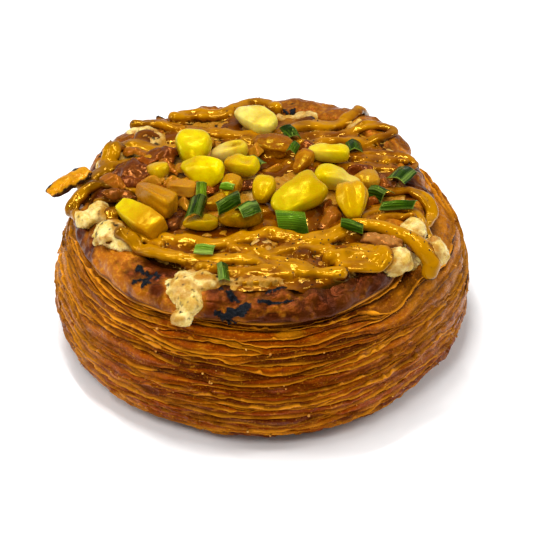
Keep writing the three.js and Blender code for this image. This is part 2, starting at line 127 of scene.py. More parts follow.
def hashed(x, y, z, seed):
    """A fixed random number from -1 to 1 for each whole-number cell."""
    h = x * np.uint32(0x8DA6B343) ^ y * np.uint32(0xD8163841) ^ z * np.uint32(0xCB1AB31F)
    h = h ^ np.uint32((seed * 0x9E3779B9) & 0xFFFFFFFF)
    for shift, factor in ((15, 0x2C1B3C6D), (12, 0x297A2D39)):
        h = (h ^ (h >> np.uint32(shift))) * np.uint32(factor)
    return (h ^ (h >> np.uint32(15))) / 2**31 - 1


def noise(at, size, seed=0, octaves=1):
    """Smooth noise from about -1 to 1 at points in mm, with lumps of this size."""
    at = np.asarray(at, float)
    total, weight, most = 0.0, 1.0, 0.0
    for octave in range(octaves):
        place = at / size + 11.7 * seed + 5.3 * octave
        floor = np.floor(place)
        x, y, z = np.moveaxis(floor.astype(np.int64).astype(np.uint32), -1, 0)
        f = place - floor
        fx, fy, fz = np.moveaxis(f * f * f * (f * (6 * f - 15) + 10), -1, 0)
        one = np.uint32(1)
        layers = []
        for dz in (0, 1):
            rows = []
            for dy in (0, 1):
                a, b = (hashed(x + one * dx, y + one * dy, z + one * dz, seed) for dx in (0, 1))
                rows.append(mixed(a, b, fx))
            layers.append(mixed(*rows, fy))
        total = total + weight * mixed(*layers, fz)
        most += weight
        weight *= 0.5
        size *= 0.52
    return total / most * 1.5


def smooth(value, low, high):
    """0 below low, 1 above high, and an S-curve between."""
    t = np.clip((value - low) / (high - low), 0, 1)
    return t * t * (3 - 2 * t)


def mixed(a, b, share):
    return a + (b - a) * share


# ---------- the pastry's own curves ----------


def bump(angle, centre, width):
    """1 at an angle in degrees, falling to 0 over a width, round the circle."""
    away = (angle - rad(centre) + math.pi) % (2 * math.pi) - math.pi
    return np.exp(-((away / rad(width)) ** 2))


def crust_radius(angle):
    reach = 40.7 + 1.5 * np.cos(angle - rad(-125))
    ripple = 0.45 * np.sin(5 * angle + 1) + 0.3 * np.sin(9 * angle + 2.2)
    return reach - 3.6 * bump(angle, -20, 34) + 2.6 * bump(angle, 50, 18) + ripple


def lip_height(angle):
    return LIP_HEIGHT + 1.2 * bump(angle, -20, 34) + 1.1 * bump(angle, 75, 60) + 0.3 * np.sin(3 * angle)


def crust_point(angle, ring):
    inset, rise = CRUST_RINGS[ring]
    swell = 0.35 * np.sin(4 * angle + ring) if ring > 2 else 0
    return crust_radius(angle) - inset, lip_height(angle) + rise + swell


def through(points, t):
    """A smooth curve through equally spaced points, at t from 0 to 1. points: (n, ..., d)"""
    last = len(points) - 1
    p = np.clip(t, 0, 1) * last
    i = np.minimum(p.astype(int), last - 1)
    w = (p - i)[..., None]
    pick = lambda k: np.take_along_axis(points, np.clip(i + k, 0, last)[None, ..., None], 0)[0]
    a, b, c, d = pick(-1), pick(0), pick(1), pick(2)
    v0, v1 = (c - a) / 2, (d - b) / 2
    return (2 * b - 2 * c + v0 + v1) * w**3 + (3 * c - 3 * b - 2 * v0 - v1) * w**2 + v0 * w + b


def side_point(angle, share):
    """Radius and height of the side, from the foot (0) to the notch under the crust (1)."""
    angle, share = np.broadcast_arrays(angle, share)
    notch_radius, notch_height = crust_point(angle, 0)
    fixed = [(BASE_RADIUS, 0.7), (45.3, 4.2), (BELLY_RADIUS, BELLY_HEIGHT), (46.7, 20), (44.2, 27.5)]
    points = np.stack(
        [np.broadcast_to(np.array(p, float), angle.shape + (2,)) for p in fixed]
        + [np.stack([notch_radius + 0.6, notch_height], -1)]
    )
    at = through(points, share)
    wobble = 0.4 * np.sin(2 * angle + 0.6) + 0.3 * np.sin(5 * angle + 2)
    sloped = 2.2 * bump(angle, 15, 60) + 1.5 * bump(angle, 175, 55)
    tucked = bump(angle, -140, 40) + 0.7 * bump(angle, -45, 25)
    drawn = sloped * share**1.5 * (1 - share**6) + tucked * (1 - share)
    return at[..., 0] + wobble * np.sin(math.pi * share) - drawn, at[..., 1]


def filling_top(x, y):
    heap = 2.1 * np.exp(-(x * x + (y + 4) ** 2) / 520)
    return 36.9 + heap + 0.3 * np.sin(0.42 * x + 1) * np.cos(0.37 * y) + 0.2 * np.sin(0.7 * y - 0.3 * x)


def filling_radius(angle):
    return 33.4 + 1.4 * np.sin(3 * angle + 0.4) + 0.8 * np.sin(7 * angle) - 1.6 * bump(angle, 70, 25)


def carrier_top(x, y):
    """Height of what carries the sauce: filling, lumps, crust, or the side below it."""
    angle, radius = np.arctan2(y, x), np.hypot(x, y)
    outside = radius - crust_radius(angle)
    last = len(CRUST_RINGS) - 1
    top = np.where(outside < -8, 36.3, crust_point(angle, last)[1])
    for ring in range(2, last):
        (r0, z0), (r1, z1) = crust_point(angle, ring), crust_point(angle, ring + 1)
        within = (radius <= r0) & (radius >= r1)
        top = np.where(within, z1 + (z0 - z1) * (radius - r1) / (r0 - r1), top)
    top = np.where(outside > 0.5, lip_height(angle) + 1.3 - 1.2 * (outside - 0.5), top)
    top = np.where(radius < filling_radius(angle), np.maximum(top, filling_top(x, y)), top)
    for cx, cy, cz, size, flat in CHEESE_LUMPS:
        reach = ((x - cx) ** 2 + (y - cy) ** 2) / size**2
        lump = cz + size * flat * np.sqrt(np.clip(1 - reach, 0, 1))
        top = np.where(reach < 1, np.maximum(top, lump), top)
    return top


# ---------- meshes ----------


def piece(name, points, faces, material, values=(), rides=True, nodes=()):
    """A smooth-shaded mesh from points in mm, with its painted values, on the frame."""
    mesh = bpy.data.meshes.new(name)
    mesh.from_pydata((np.asarray(points, float) * MM).tolist(), [], faces)
    mesh.validate()
    for key, value in dict(values).items():
        kind, field = ("FLOAT_COLOR", "color") if np.ndim(value) == 2 else ("FLOAT", "value")
        data = mesh.attributes.new(key, kind, "POINT").data
        data.foreach_set(field, np.asarray(value, np.float32).ravel())
    mesh.polygons.foreach_set("use_smooth", np.ones(len(mesh.polygons), bool))
    mesh.materials.append(material)
    made = bpy.data.objects.new(name, mesh)
    bpy.context.scene.collection.objects.link(made)
    if rides:
        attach(made, "root")
        if nodes:
            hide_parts(*nodes)
    return made


def ring_faces(rows, columns):
    """Quads between closed rings of points that follow each other."""
    r, c = np.meshgrid(np.arange(rows - 1), np.arange(columns), indexing="ij")
    a, b = r * columns + c, r * columns + (c + 1) % columns
    return np.stack([a, b, b + columns, a + columns], -1).reshape(-1, 4).tolist()


def turned(grid):
    """Closes a stack of rings, bottom first, with a point at each end."""
    rows, columns, _ = grid.shape
    ends = np.stack([grid[0].mean(0), grid[-1].mean(0)])
    points = np.concatenate([grid.reshape(-1, 3), ends])
    low, high, top = rows * columns, rows * columns + 1, (rows - 1) * columns
    faces = ring_faces(rows, columns)
    for c in range(columns):
        d = (c + 1) % columns
        faces += [[low, d, c], [high, top + c, top + d]]
    return points, faces


def normals(grid):
    """Outward normals of a stack of rings."""
    across = np.roll(grid, -1, 1) - np.roll(grid, 1, 1)
    along = np.gradient(grid, axis=0)
    n = np.cross(across, along)
    return n / np.maximum(np.linalg.norm(n, axis=-1, keepdims=True), 1e-9)


def surface(field, corner, step):
    """The closed surface where a field on a grid is 0: negative is inside."""
    inside, shape = field < 0, [n - 1 for n in field.shape]
    sums, counts = np.zeros([3] + shape, np.float32), np.zeros(shape, np.uint8)

    def part(a, offset):
        return a[tuple(slice(o, n + o) for o, n in zip(offset, shape))]

    for axis in range(3):
        for i, j in ((0, 0), (0, 1), (1, 0), (1, 1)):
            start = [i, j]
            start.insert(axis, 0)
            end = list(start)
            end[axis] = 1
            a, b = part(field, start), part(field, end)
            crossing = part(inside, start) != part(inside, end)
            t = np.where(crossing, a / np.where(crossing, a - b, 1), 0)
            for k in range(3):
                sums[k] += np.where(crossing, t if k == axis else start[k], 0)
            counts += crossing
    used = counts > 0
    index = np.full(used.shape, -1, np.int64)
    index[used] = np.arange(used.sum())
    points = corner + step * (np.argwhere(used) + (sums[:, used] / counts[used]).T)
    faces = []
    for axis in range(3):
        here = [slice(1, -1)] * 3
        here[axis] = slice(0, -1)
        there = list(here)
        there[axis] = slice(1, None)
        a, b = inside[tuple(here)], inside[tuple(there)]
        back = np.zeros((4, 3), int)  # from a grid edge to the four cells round it
        back[:, (axis + 1) % 3], back[:, (axis + 2) % 3] = (1, 0, 0, 1), (1, 1, 0, 0)
        for crossing, ring in ((a & ~b, (0, 1, 2, 3)), (~a & b, (0, 3, 2, 1))):
            at = np.argwhere(crossing) + [k != axis for k in range(3)]
            faces.append(np.stack([index[tuple((at - back[k]).T)] for k in ring], 1))
    return points, np.concatenate(faces)


def point_normals(points, faces):
    """Outward normals of the points of a mesh of quads."""
    f = np.asarray(faces)
    across = np.cross(points[f[:, 2]] - points[f[:, 0]], points[f[:, 3]] - points[f[:, 1]])
    n = np.zeros_like(points)
    for k in range(4):
        np.add.at(n, f[:, k], across)
    return n / np.maximum(np.linalg.norm(n, axis=1, keepdims=True), 1e-9)


CHANCE = np.random.default_rng(11)


def scattered(name, places, small, large, material):
    """Small uneven grains at the given places, as one piece."""
    turn = np.linspace(0, 2 * math.pi, 6, endpoint=False)
    rings = [(math.cos(t) * w, math.sin(t) * w, h) for h, w in ((-0.5, 0.85), (0.45, 0.9)) for t in turn]
    ball = np.array([(0, 0, -1)] + rings + [(0, 0, 1)])
    sides = [(k, (k + 1) % 6) for k in range(6)]
    faces = [[0, 1 + n, 1 + k] for k, n in sides] + [[13, 7 + k, 7 + n] for k, n in sides]
    faces += [[1 + k, 1 + n, 7 + n, 7 + k] for k, n in sides]
    points, all_faces = [], []
    for i, at in enumerate(np.asarray(places)):
        size = small + (large - small) * CHANCE.random() ** 2
        shape = ball * CHANCE.uniform(0.55, 1.3, 3) * CHANCE.uniform(0.8, 1.2, (len(ball), 1))
        spin = np.linalg.qr(CHANCE.normal(size=(3, 3)))[0]
        spin = spin * np.sign(np.linalg.det(spin))
        points.append(shape @ spin.T * size + at)
        all_faces += [[v + len(ball) * i for v in face] for face in faces]
    piece(name, np.concatenate(points), all_faces, material)


# ---------- colours and materials ----------


def paint(code):
    """An sRGB hex colour as the linear colour that Blender uses."""
    parts = [int(code[i : i + 2], 16) / 255 for i in (1, 3, 5)]
    return [c / 12.92 if c <= 0.04045 else ((c + 0.055) / 1.055) ** 2.4 for c in parts] + [1]


class Recipe:
    """A material under construction: one call adds a node with its settings and links."""

    def __init__(self, name, sheen=0.5, tint="#FFFFFF", soak=None, **shader):
        """soak is how much light goes in, how many mm deep, and how red, green and blue spread."""
        self.material = bpy.data.materials.new(name)
        self.material.use_nodes = True
        self.tree = self.material.node_tree
        self.shader = self.tree.nodes["Principled BSDF"]
        self.set(self.shader, {"Specular_IOR_Level": sheen, "Specular_Tint": tint, **shader})
        if soak:
            weight, depth_mm, spread = soak
            soaked = {"Subsurface_Weight": weight, "Subsurface_Scale": depth_mm * MM}
            self.set(self.shader, {**soaked, "Subsurface_Radius": spread})

    def set(self, node, inputs):
        for key, value in inputs.items():
            socket = node.inputs[key if isinstance(key, int) else key.replace("_", " ")]
            if isinstance(value, bpy.types.NodeSocket):
                self.tree.links.new(value, socket)
            else:
                socket.default_value = paint(value) if isinstance(value, str) else value

    def done(self, **shader):
        self.set(self.shader, shader)
        return self.material

    def add(self, kind, out=0, settings=(), **inputs):
        """A new node; inputs are named, or i0, i1 and so on by their place. Gives one output."""
        node = self.tree.nodes.new("ShaderNode" + kind)
        for key, value in dict(settings).items():
            setattr(node, key, value)
        self.set(node, {int(k[1:]) if k[0] == "i" and k[1:].isdigit() else k: v for k, v in inputs.items()})
        return node.outputs[out]

    def value(self, name):
        return self.add("Attribute", out=2, settings={"attribute_name": name})

    def colour(self, name):
        return self.add("Attribute", out=0, settings={"attribute_name": name})

    def noise(self, lumps_mm, detail=3, rough=0.55, at=None):
        """Noise from 0 to 1 with lumps of a real size, at painted places in mm if they are given."""
        scale = 1 / lumps_mm if at else 1 / (lumps_mm * MM)
        place = at or self.add("TexCoord", out=3)
        return self.add("TexNoise", Vector=place, Scale=scale, Detail=detail, Roughness=rough)

    def remap(self, value, low, high, to_low=0.0, to_high=1.0):
        kind = {"interpolation_type": "SMOOTHSTEP"}
        return self.add("MapRange", settings=kind, i0=value, i1=low, i2=high, i3=to_low, i4=to_high)

    def patches(self, lumps_mm, *ranges, **kind):
        return self.remap(self.noise(lumps_mm, **kind), *ranges)

    def uneven(self, lumps_mm, low, high):
        """A roughness that wanders between two values."""
        return self.patches(lumps_mm, 0.3, 0.7, low, high)

    def math(self, operation, a, b):
        return self.add("Math", settings={"operation": operation}, i0=a, i1=b)

    def mix(self, share, a, b):
        return self.add("Mix", out=2, settings={"data_type": "RGBA"}, i0=share, i6=a, i7=b)

    def over(self, base, *layers):
        """Colours laid over a base one by one, each through a mask: a socket or a painted value."""
        for mask, colour in layers:
            base = self.mix(self.value(mask) if isinstance(mask, str) else mask, base, colour)
        return base

    def bump(self, height, depth_mm, strength, under=None):
        extra = {"Normal": under} if under else {}
        return self.add("Bump", Height=height, Distance=depth_mm * MM, Strength=strength, **extra)


def baked_leaves():
    """Butter-fried dough leaves: streaked along the leaf, with painted shade where leaves part, gold on dry
    edges with a painted highlight on them, painted glints and shade in the fine relief, and painted light on
    the left and right sides.
    """
    m = Recipe("baked_dough_leaves", 0.4, "#FF8818")
    along = m.colour("along")
    streak, fine = m.noise(0.8, 4, 0.6, along), m.noise(0.5, 4, 0.65)
    broad, crackle = m.noise(3.0, 3, 0.5, along), m.noise(1.2, 3, 0.6, along)
    base = m.over(
        m.mix(m.remap(broad, 0.3, 0.7), "#7C2A00", "#A04400"),
        # golden patches, and painted light on the left and right sides
        ("gold_and_painted_side_light", "#BA7206"),
        ("maroon", "#441006"),
        (m.remap(streak, 0.52, 0.7, 0, 0.7), "#CC7C08"),
        (m.remap(streak, 0.48, 0.32, 0, 0.7), "#561800"),
        # painted shade in the recesses where the leaves part
        ("painted_recess_shade", "#2A0800"),
        # painted glints on the high spots of the fine relief, and painted shade in its low spots
        (m.remap(fine, 0.58, 0.7, 0, 0.6), "#E09820"),
        (m.remap(fine, 0.42, 0.3, 0, 0.6), "#3C1000"),
        # the dry golden edges, with a painted highlight on them
        ("lip", "#E89418"),
    )
    relief = m.bump(crackle, 0.5, 0.85, m.bump(fine, 0.18, 0.85))
    return m.done(Base_Color=base, Roughness=m.uneven(0.9, 0.16, 0.44), Normal=relief)


def glazed_crust():
    """Egg-washed crust: a glossy red-brown skin, deeper on its swellings, black where it burnt."""
    m = Recipe("egg_washed_crust", 0.6, "#FF7C38")
    fine = m.noise(0.45, 4, 0.6)
    mottled = m.math("MULTIPLY", m.patches(0.8, 0.48, 0.62, detail=4, rough=0.6), m.value("pale"))
    base = m.over(
        m.mix(m.patches(4.5, 0.32, 0.68), "#220700", "#401600"),
        (m.patches(1.3, 0.5, 0.75, 0, 0.5), "#5C2402"),
        ("pale", "#B0640A"),
        (m.math("MULTIPLY", mottled, 0.7), "#C8881C"),
        # painted shade in the low spots of the fine relief
        (m.remap(fine, 0.42, 0.2, 0, 0.6), "#300A00"),
        ("deep", "#1E0600"),
        # painted shade in the notch under the lip
        ("painted_recess_shade", "#2A0A02"),
        # the golden lip edge, with a painted highlight on it
        ("lip", "#D88C1C"),
        ("char", "#06080A"),
    )
    dry = m.math("MULTIPLY", m.value("char"), 0.6)
    roughness = m.math("MAXIMUM", m.uneven(2.0, 0.28, 0.44), dry)
    relief = m.bump(fine, 0.1, 0.9, m.bump(m.noise(2.2), 0.6, 0.8))
    return m.done(Base_Color=base, Roughness=roughness, Normal=relief)


def soft_cheese():
    """Soft cheese with a milky depth, grainy, toasted brown on its high places, with painted shade in its
    crevices and in the low spots of its fine relief.
    """
    m = Recipe("baked_soft_cheese", 0.4, "#FFDC90", (0.35, 0.8, (1.0, 0.7, 0.3)))
    fine = m.noise(0.5, 4, 0.6)
    base = m.over(
        m.mix(m.patches(2.2, 0.35, 0.65), "#CCA84C", "#EAD68C"),
        # painted shade in the low spots of the fine relief
        (m.remap(fine, 0.5, 0.3, 0, 0.5), "#B88A38"),
        ("amber", "#A06800"),
        # toasted brown, and painted shade in the crevices
        ("toast_and_crevice_shade", "#A4640C"),
        ("char", "#1C0C04"),
    )
    relief = m.bump(fine, 0.18, 0.9, m.bump(m.noise(1.1), 0.3, 0.8))
    return m.done(Base_Color=base, Roughness=m.remap(fine, 0.3, 0.7, 0.2, 0.4), Normal=relief)


def baked_sauce():
    """Mustard-gold sauce, baked to a wet-looking skin, darker where it lies thin, with painted shade in the
    valleys between its ridges.
    """
    m = Recipe("baked_mustard_sauce", 0.7, "#FFC434", (0.1, 0.8, (1.0, 0.6, 0.08)))
    base = m.over(
        m.mix(m.patches(3.2, 0.35, 0.68), "#6A3200", "#985C00"),
        ("thin", "#5C2800"),
        ("crest", "#B67C00"),
        ("brown", "#481C00"),
        # painted shade in the valleys between the ridges
        ("painted_valley_shade", "#260C00"),
    )
    relief = m.bump(m.noise(1.6, 2), 0.12, 0.6)
    return m.done(Base_Color=base, Roughness=m.uneven(1.5, 0.07, 0.16), Normal=relief)


def corn_skin():
    """Sweetcorn: a taut wet skin over a yellow body that light soaks into."""
    m = Recipe("sweetcorn_skin", 0.5, "#FFE418", (0.35, 1.4, (1.0, 0.55, 0.02)))
    base = m.mix(m.patches(2.0, 0.35, 0.75, 0, 0.5), m.colour("skin"), "#B07200")
    return m.done(
        Base_Color=base,
        Roughness=m.uneven(1.0, 0.16, 0.34),
        Normal=m.bump(m.noise(1.4), 0.08, 0.5),
    )


def browned_onion():
    """Onion cooked until clear and brown, slick with fat, darker at its dry edges."""
    m = Recipe("browned_onion", 0.8, "#FF9C48", (0.3, 1.0, (1.0, 0.4, 0.1)))
    base = m.mix(m.patches(1.8, 0.35, 0.7, 0, 0.5, detail=4), m.colour("skin"), "#804004")
    base = m.over(base, ("rim", "#401808"), ("char", "#100E0C"))
    return m.done(
        Base_Color=base,
        Roughness=m.uneven(1.0, 0.12, 0.28),
        Normal=m.bump(m.noise(1.3), 0.22, 0.7),
    )


def cut_chive():
    """Cut green leaf: veins along it, a waxy shine, paler cut ends."""
    m = Recipe("cut_chive", 0.32, "#C8E850", (0.1, 0.5, (0.5, 1.0, 0.1)))
    vein = m.value("vein")
    pale, dark = m.remap(vein, 0.2, 0.9, 0, 0.35), m.remap(vein, 0.4, 0.05, 0, 0.5)
    base = m.over(m.colour("skin"), (pale, "#5E8414"), (dark, "#0C1C02"), ("rim", "#A0B440"))
    return m.done(Base_Color=base, Roughness=m.uneven(0.6, 0.2, 0.36), Normal=m.bump(vein, 0.14, 0.8))


def mottled(m, patch_mm, low, high, relief):
    """Patches of two shades and a fine relief, for dry crumbs and char."""
    return m.done(Base_Color=m.mix(m.patches(patch_mm, 0.35, 0.65), low, high), Normal=m.bump(*relief))


def burnt_crust():
    """Charred blisters: dry carbon, black with a cold grey sheen."""
    m = Recipe("charred_blisters", 0.35, "#8C98A8", Roughness=0.42)
    return mottled(m, 0.8, "#020203", "#08090B", (m.noise(0.7), 0.45, 0.9))


def crumb(name, low, high):
    """Loose crisp bits, each a shade of its own."""
    m = Recipe(name, 0.3, Roughness=0.6)
    return mottled(m, 0.7, low, high, (m.noise(0.3), 0.08, 0.6))


DOUGH, CRUST, CHEESE, SAUCE = baked_leaves(), glazed_crust(), soft_cheese(), baked_sauce()
CORN_SKIN, ONION_SKIN, CHIVE_SKIN, BURNT = corn_skin(), browned_onion(), cut_chive(), burnt_crust()
PEPPER, FLAKES = crumb("ground_pepper", "#1E1208", "#3A2410"), crumb("dry_flakes", "#B06810", "#DCA040")

# ---------- lines ----------


def spaced(points, gap):
    """Points a fixed gap apart along the round-cornered curve through the given ones."""
    p = np.array(points, float)
    knots = np.concatenate([[0], np.cumsum(np.linalg.norm(np.diff(p, axis=0), axis=1) ** 0.5)])
    p = np.concatenate([[2 * p[0] - p[1]], p, [2 * p[-1] - p[-2]]])
    knots = np.concatenate([[knots[0] - (knots[1] - knots[0])], knots, [2 * knots[-1] - knots[-2]]])
    line = []
    for i in range(1, len(p) - 2):
        t0, t1, t2, t3 = knots[i - 1 : i + 3]
        t = np.linspace(t1, t2, 40, endpoint=False)[:, None]
        a1 = ((t1 - t) * p[i - 1] + (t - t0) * p[i]) / (t1 - t0)
        a2 = ((t2 - t) * p[i] + (t - t1) * p[i + 1]) / (t2 - t1)
        a3 = ((t3 - t) * p[i + 1] + (t - t2) * p[i + 2]) / (t3 - t2)
        b1 = ((t2 - t) * a1 + (t - t0) * a2) / (t2 - t0)
        b2 = ((t3 - t) * a2 + (t - t1) * a3) / (t3 - t1)
        line.append(((t2 - t) * b1 + (t - t1) * b2) / (t2 - t1))
    line = np.concatenate(line + [p[-2:-1]])
    run = np.concatenate([[0], np.cumsum(np.linalg.norm(np.diff(line, axis=0), axis=1))])
    at = np.linspace(0, run[-1], max(2, int(run[-1] / gap)))
    return np.stack([np.interp(at, run, line[:, k]) for k in range(line.shape[1])], 1)


# ---------- the leaves of dough ----------

LEAVES = 31
LEAF_ROWS = 7  # rows of points up each leaf
LEAF_COLUMNS = 720
SEAM_LEAF = 16  # the lower piece meets the upper one in the recess under this leaf
SIDE_LENGTH = 35.5  # mm up the side, along its curve
NOISE_APART = 37.0  # mm between the noise of one leaf and the next, so that no two are alike
CRUMBS = 220
around = np.linspace(0, 2 * math.pi, LEAF_COLUMNS, endpoint=False)


def on_ring(angle, height=0.0, radius=BELLY_RADIUS):
    """Points of a ring in mm, to look noise up at."""
    return np.stack(np.broadcast_arrays(radius * np.cos(angle), radius * np.sin(angle), height), -1)


def leaf_edges():
    """Where each leaf's edge runs round the side, in leaves up from the foot. Edges wander and meet."""
    edges, before = [], np.full(LEAF_COLUMNS, -1.0)
    fan = np.clip(bump(around, -24, 40) + 0.8 * bump(around, 168, 34), 0, 1)
    sway = 1.1 * noise(on_ring(around, 5.0), 30, 3)
    for leaf in range(LEAVES + 1):
        at = on_ring(around, NOISE_APART * leaf)
        inner = math.sin(math.pi * leaf / LEAVES)
        fray = (0.05 + 0.12 * smooth(noise(at, 9, 12), -0.1, 0.7)) * noise(at, 2.4, 11, 2)
        wander = 0.95 * noise(at, 19, 1) + 0.3 * noise(at, 7.5, 2) + fray
        edge = leaf + min(1, 3 * inner) * wander + sway * inner
        if LEAVES - 9 < leaf < LEAVES - 1 and leaf % 3:
            edge = mixed(edge, before + 0.05, smooth(fan, 0.3, 0.7))
        before = np.maximum(edge, before + 0.05) if leaf else np.zeros(LEAF_COLUMNS)
        edges.append(before)
    edges = np.array(edges)
    return edges / edges[-1]


def leaf_rows():
    """Each row of points up the side: its share of the length, how far it stands out, how much painted
    highlight it carries on a dry edge, how much painted shade it carries in a hollow, and the leaf."""
    edges = leaf_edges()
    gap = bump(around, -85, 38)  # at the front the top leaves have sunk away under the crust
    rows = []
    for leaf in range(LEAVES):
        low, tall = edges[leaf], SIDE_LENGTH * (edges[leaf + 1] - edges[leaf])
        at = on_ring(around, NOISE_APART * leaf)
        size = np.clip(tall / 0.8, 0.1, 1)
        torn = smooth(noise(at, 2.8, 15, 2), 0.3, 0.6)
        risen = smooth(noise(at, 1.6, 16), 0.45, 0.9) * smooth(noise(at, 8, 17), -0.1, 0.5)
        fin = np.minimum(0.12 + 0.6 * risen, 0.45 * tall)
        lip = size * (0.42 + 0.34 * noise(at, 8, 5, 2) + 0.07 * noise(at, 1.5, 13)) * (1 - 0.6 * torn) + 0.04
        root = size * np.clip(0.75 + 0.8 * noise(at, 9, 6, 2), 0.1, 1.9)
        swell = size * (0.34 * noise(at, 5, 7, 2) + 0.16 * noise(at, 1.5, 14, 2))
        swell = swell + 0.12 * np.clip(tall - 1.2, 0, 3)
        apart = 0.34 * noise(at, 14, 8) * min(1, 2.5 * math.sin(math.pi * (leaf + 0.5) / LEAVES))
        apart = apart - 1.3 * gap * max(0, leaf - LEAVES + 4) / 3
        droop = size * (0.12 + 0.2 * noise(at, 3, 9, 2))
        rest = tall - fin
        # in each row, lit is the painted highlight on the dry edge and dark is the painted shade in the
        # recesses under and over it
        for up, out, lit, dark in (
            (0.02 * tall, -root, 0, 1),
            (0.0 - droop, 0.75 * lip, 0.5, 0.45),
            (fin - droop, lip + 0.1, 1, 0),
            (fin + np.minimum(0.14, 0.2 * rest), -0.2 * root + 0.3 * swell, 0.1, 0.6),
            (fin + 0.4 * rest, swell - 0.1 * root, 0, 0.05),
            (fin + 0.66 * rest, 0.9 * swell - 0.3 * root, 0, 0.15),
            (fin + 0.86 * rest, 0.3 * swell - 0.65 * root, 0, 0.7),
        ):
            rows.append((low + up / SIDE_LENGTH, out + apart, lit, dark, leaf))
    # the top leaf ends in the notch under the crust, in painted shade
    rows.append((edges[LEAVES] * 0.999, -1.2 - 1.2 * gap, 0, 1, LEAVES - 1))
    return rows


def arc_share(u):
    """Share of the side's curve that lies a share u of its length up."""
    t = np.linspace(0, 1, 200)
    r, z = side_point(np.full(200, rad(-90)), t)
    run = np.concatenate([[0], np.cumsum(np.hypot(np.diff(r), np.diff(z)))])
    return np.interp(u, run / run[-1], t)


def build_side():
    spread_out = [[np.broadcast_to(value, around.shape) for value in row] for row in leaf_rows()]
    share, out, lit, dark, leaf = np.moveaxis(np.array(spread_out, float), 1, 0)
    t = arc_share(np.clip(share, 0, 1))
    angle = np.broadcast_to(around, share.shape)
    r0, z0 = side_point(angle, np.clip(t - 0.01, 0, 1))
    r1, z1 = side_point(angle, np.clip(t + 0.01, 0, 1))
    tilt = np.arctan2(r0 - r1, z1 - z0)
    radius, height = side_point(angle, t)
    radius = radius + out * np.cos(tilt)
    height = np.maximum(height + out * np.sin(tilt), 0.15)
    # places along the leaves, drawn out so that what is painted there streaks along them
    along = on_ring(angle, 9.0 * leaf + share * SIDE_LENGTH) * [0.22, 0.22, 1]
    flakes = 0.3 * smooth(noise(along, 1.3, 18), 0.45, 0.8)
    radius = radius + 0.16 * noise(along, 0.9, 10, 2) + flakes
    along = np.concatenate([along, leaf[..., None]], -1)

    at = on_ring(angle, NOISE_APART * leaf)
    # the painted highlight on each dry edge, stronger in some places than in others
    lit = lit * np.clip(0.45 + 0.9 * noise(at, 18, 20) + 0.5 * noise(at, 4, 23, 2), 0.03, 1)
    # maroon bands, fewer on the painted highlights and on the left and right sides, where light is painted
    maroon = smooth(noise(at, 16, 21, 2), 0.0, 0.6) * 0.9 * (1 - 0.7 * lit)
    maroon = maroon * (1 - 0.75 * bump(angle, -12, 46)) * (1 - 0.55 * bump(angle, -172, 40))
    # golden patches, plus painted light that makes the left and right sides lighter; it fades out toward the
    # foot
    gold_and_painted_side_light = smooth(noise(at, 11, 22, 2), 0.1, 0.8) + 0.85 * bump(angle, -12, 40)
    gold_and_painted_side_light = np.clip(gold_and_painted_side_light + 0.85 * bump(angle, -172, 36), 0, 1) * smooth(height, 4, 22)

    grid = np.stack([radius * np.cos(angle), radius * np.sin(angle), height], -1)
    edges = grid[2::LEAF_ROWS].reshape(-1, 3)
    edges = edges[edges[:, 2] > 2]
    picks = edges[CHANCE.integers(0, len(edges), CRUMBS)] * [1.004, 1.004, 1]
    scattered("dough_crumbs", picks, 0.1, 0.38, FLAKES)
    seam = LEAF_ROWS * SEAM_LEAF
    # each piece is closed by a ring at its foot and one at its top, drawn in by these shares
    for name, part, foot, top in (
        ("dough_leaves_lower", slice(0, seam + 1), (0.965, 0.965, 0), (0.9, 0.9, 1)),
        ("dough_leaves_upper", slice(seam, None), (0.9, 0.9, 1), (0.93, 0.93, 1)),
    ):
        stack = grid[part]
        points, faces = turned(np.concatenate([stack[:1] * foot, stack, stack[-1:] * top]))

        def pad(value, fill):
            ring = np.full(LEAF_COLUMNS, fill)
            return np.concatenate([ring, value[part].ravel(), ring, [fill, fill]])

        # lip is the dry golden edge with its painted highlight
        painted = {
            "lip": pad(lit, 0.0),
            "painted_recess_shade": pad(dark, 1.0),
            "maroon": pad(maroon, 0.3),
            "gold_and_painted_side_light": pad(gold_and_painted_side_light, 0.2),
            "along": np.stack([pad(along[..., k], 0.0) for k in range(4)], 1),
        }
        piece(name, points, faces, DOUGH, painted, nodes=["laminated_dough"])


build_side()

# ---------- the crust ----------

CRUST_COLUMNS = 720
CRUST_ROWS = 68
# Where the crust is golden: how much, the angle in degrees, and the width
GOLDEN = [(1.3, -135, 36), (1, -5, 45), (0.5, 90, 60), (0.8, 140, 30), (0.7, 38, 28)]


def crust_profile():
    """Rows from inside the notch, round the thin lip, over the rim and into the dish: inset, rise, lip paint
    (the golden lip edge with a painted highlight), dark paint (painted shade)."""
    lip = [(3.2, -1.5, 0, 1), (1.7, -0.75, 0, 1), (0.25, -0.12, 0.5, 0.5)]
    lip += [(-0.3, -0.02, 1, 0), (-0.36, 0.2, 0.9, 0), (-0.1, 0.42, 0.25, 0)]
    dish = DISH_FLOOR - LIP_HEIGHT
    spans = np.array([(-0.14, 0.55)] + CRUST_RINGS[2:] + [(DISH_INSET, dish)])
    t = np.linspace(0, 1, CRUST_ROWS)
    body = through(np.repeat(spans[:, None], len(t), 1), t)
    return np.array(lip + [(a, b, 0, 0) for a, b in body[:-1]] + [(DISH_INSET + 1.5, dish, 0, 1)])


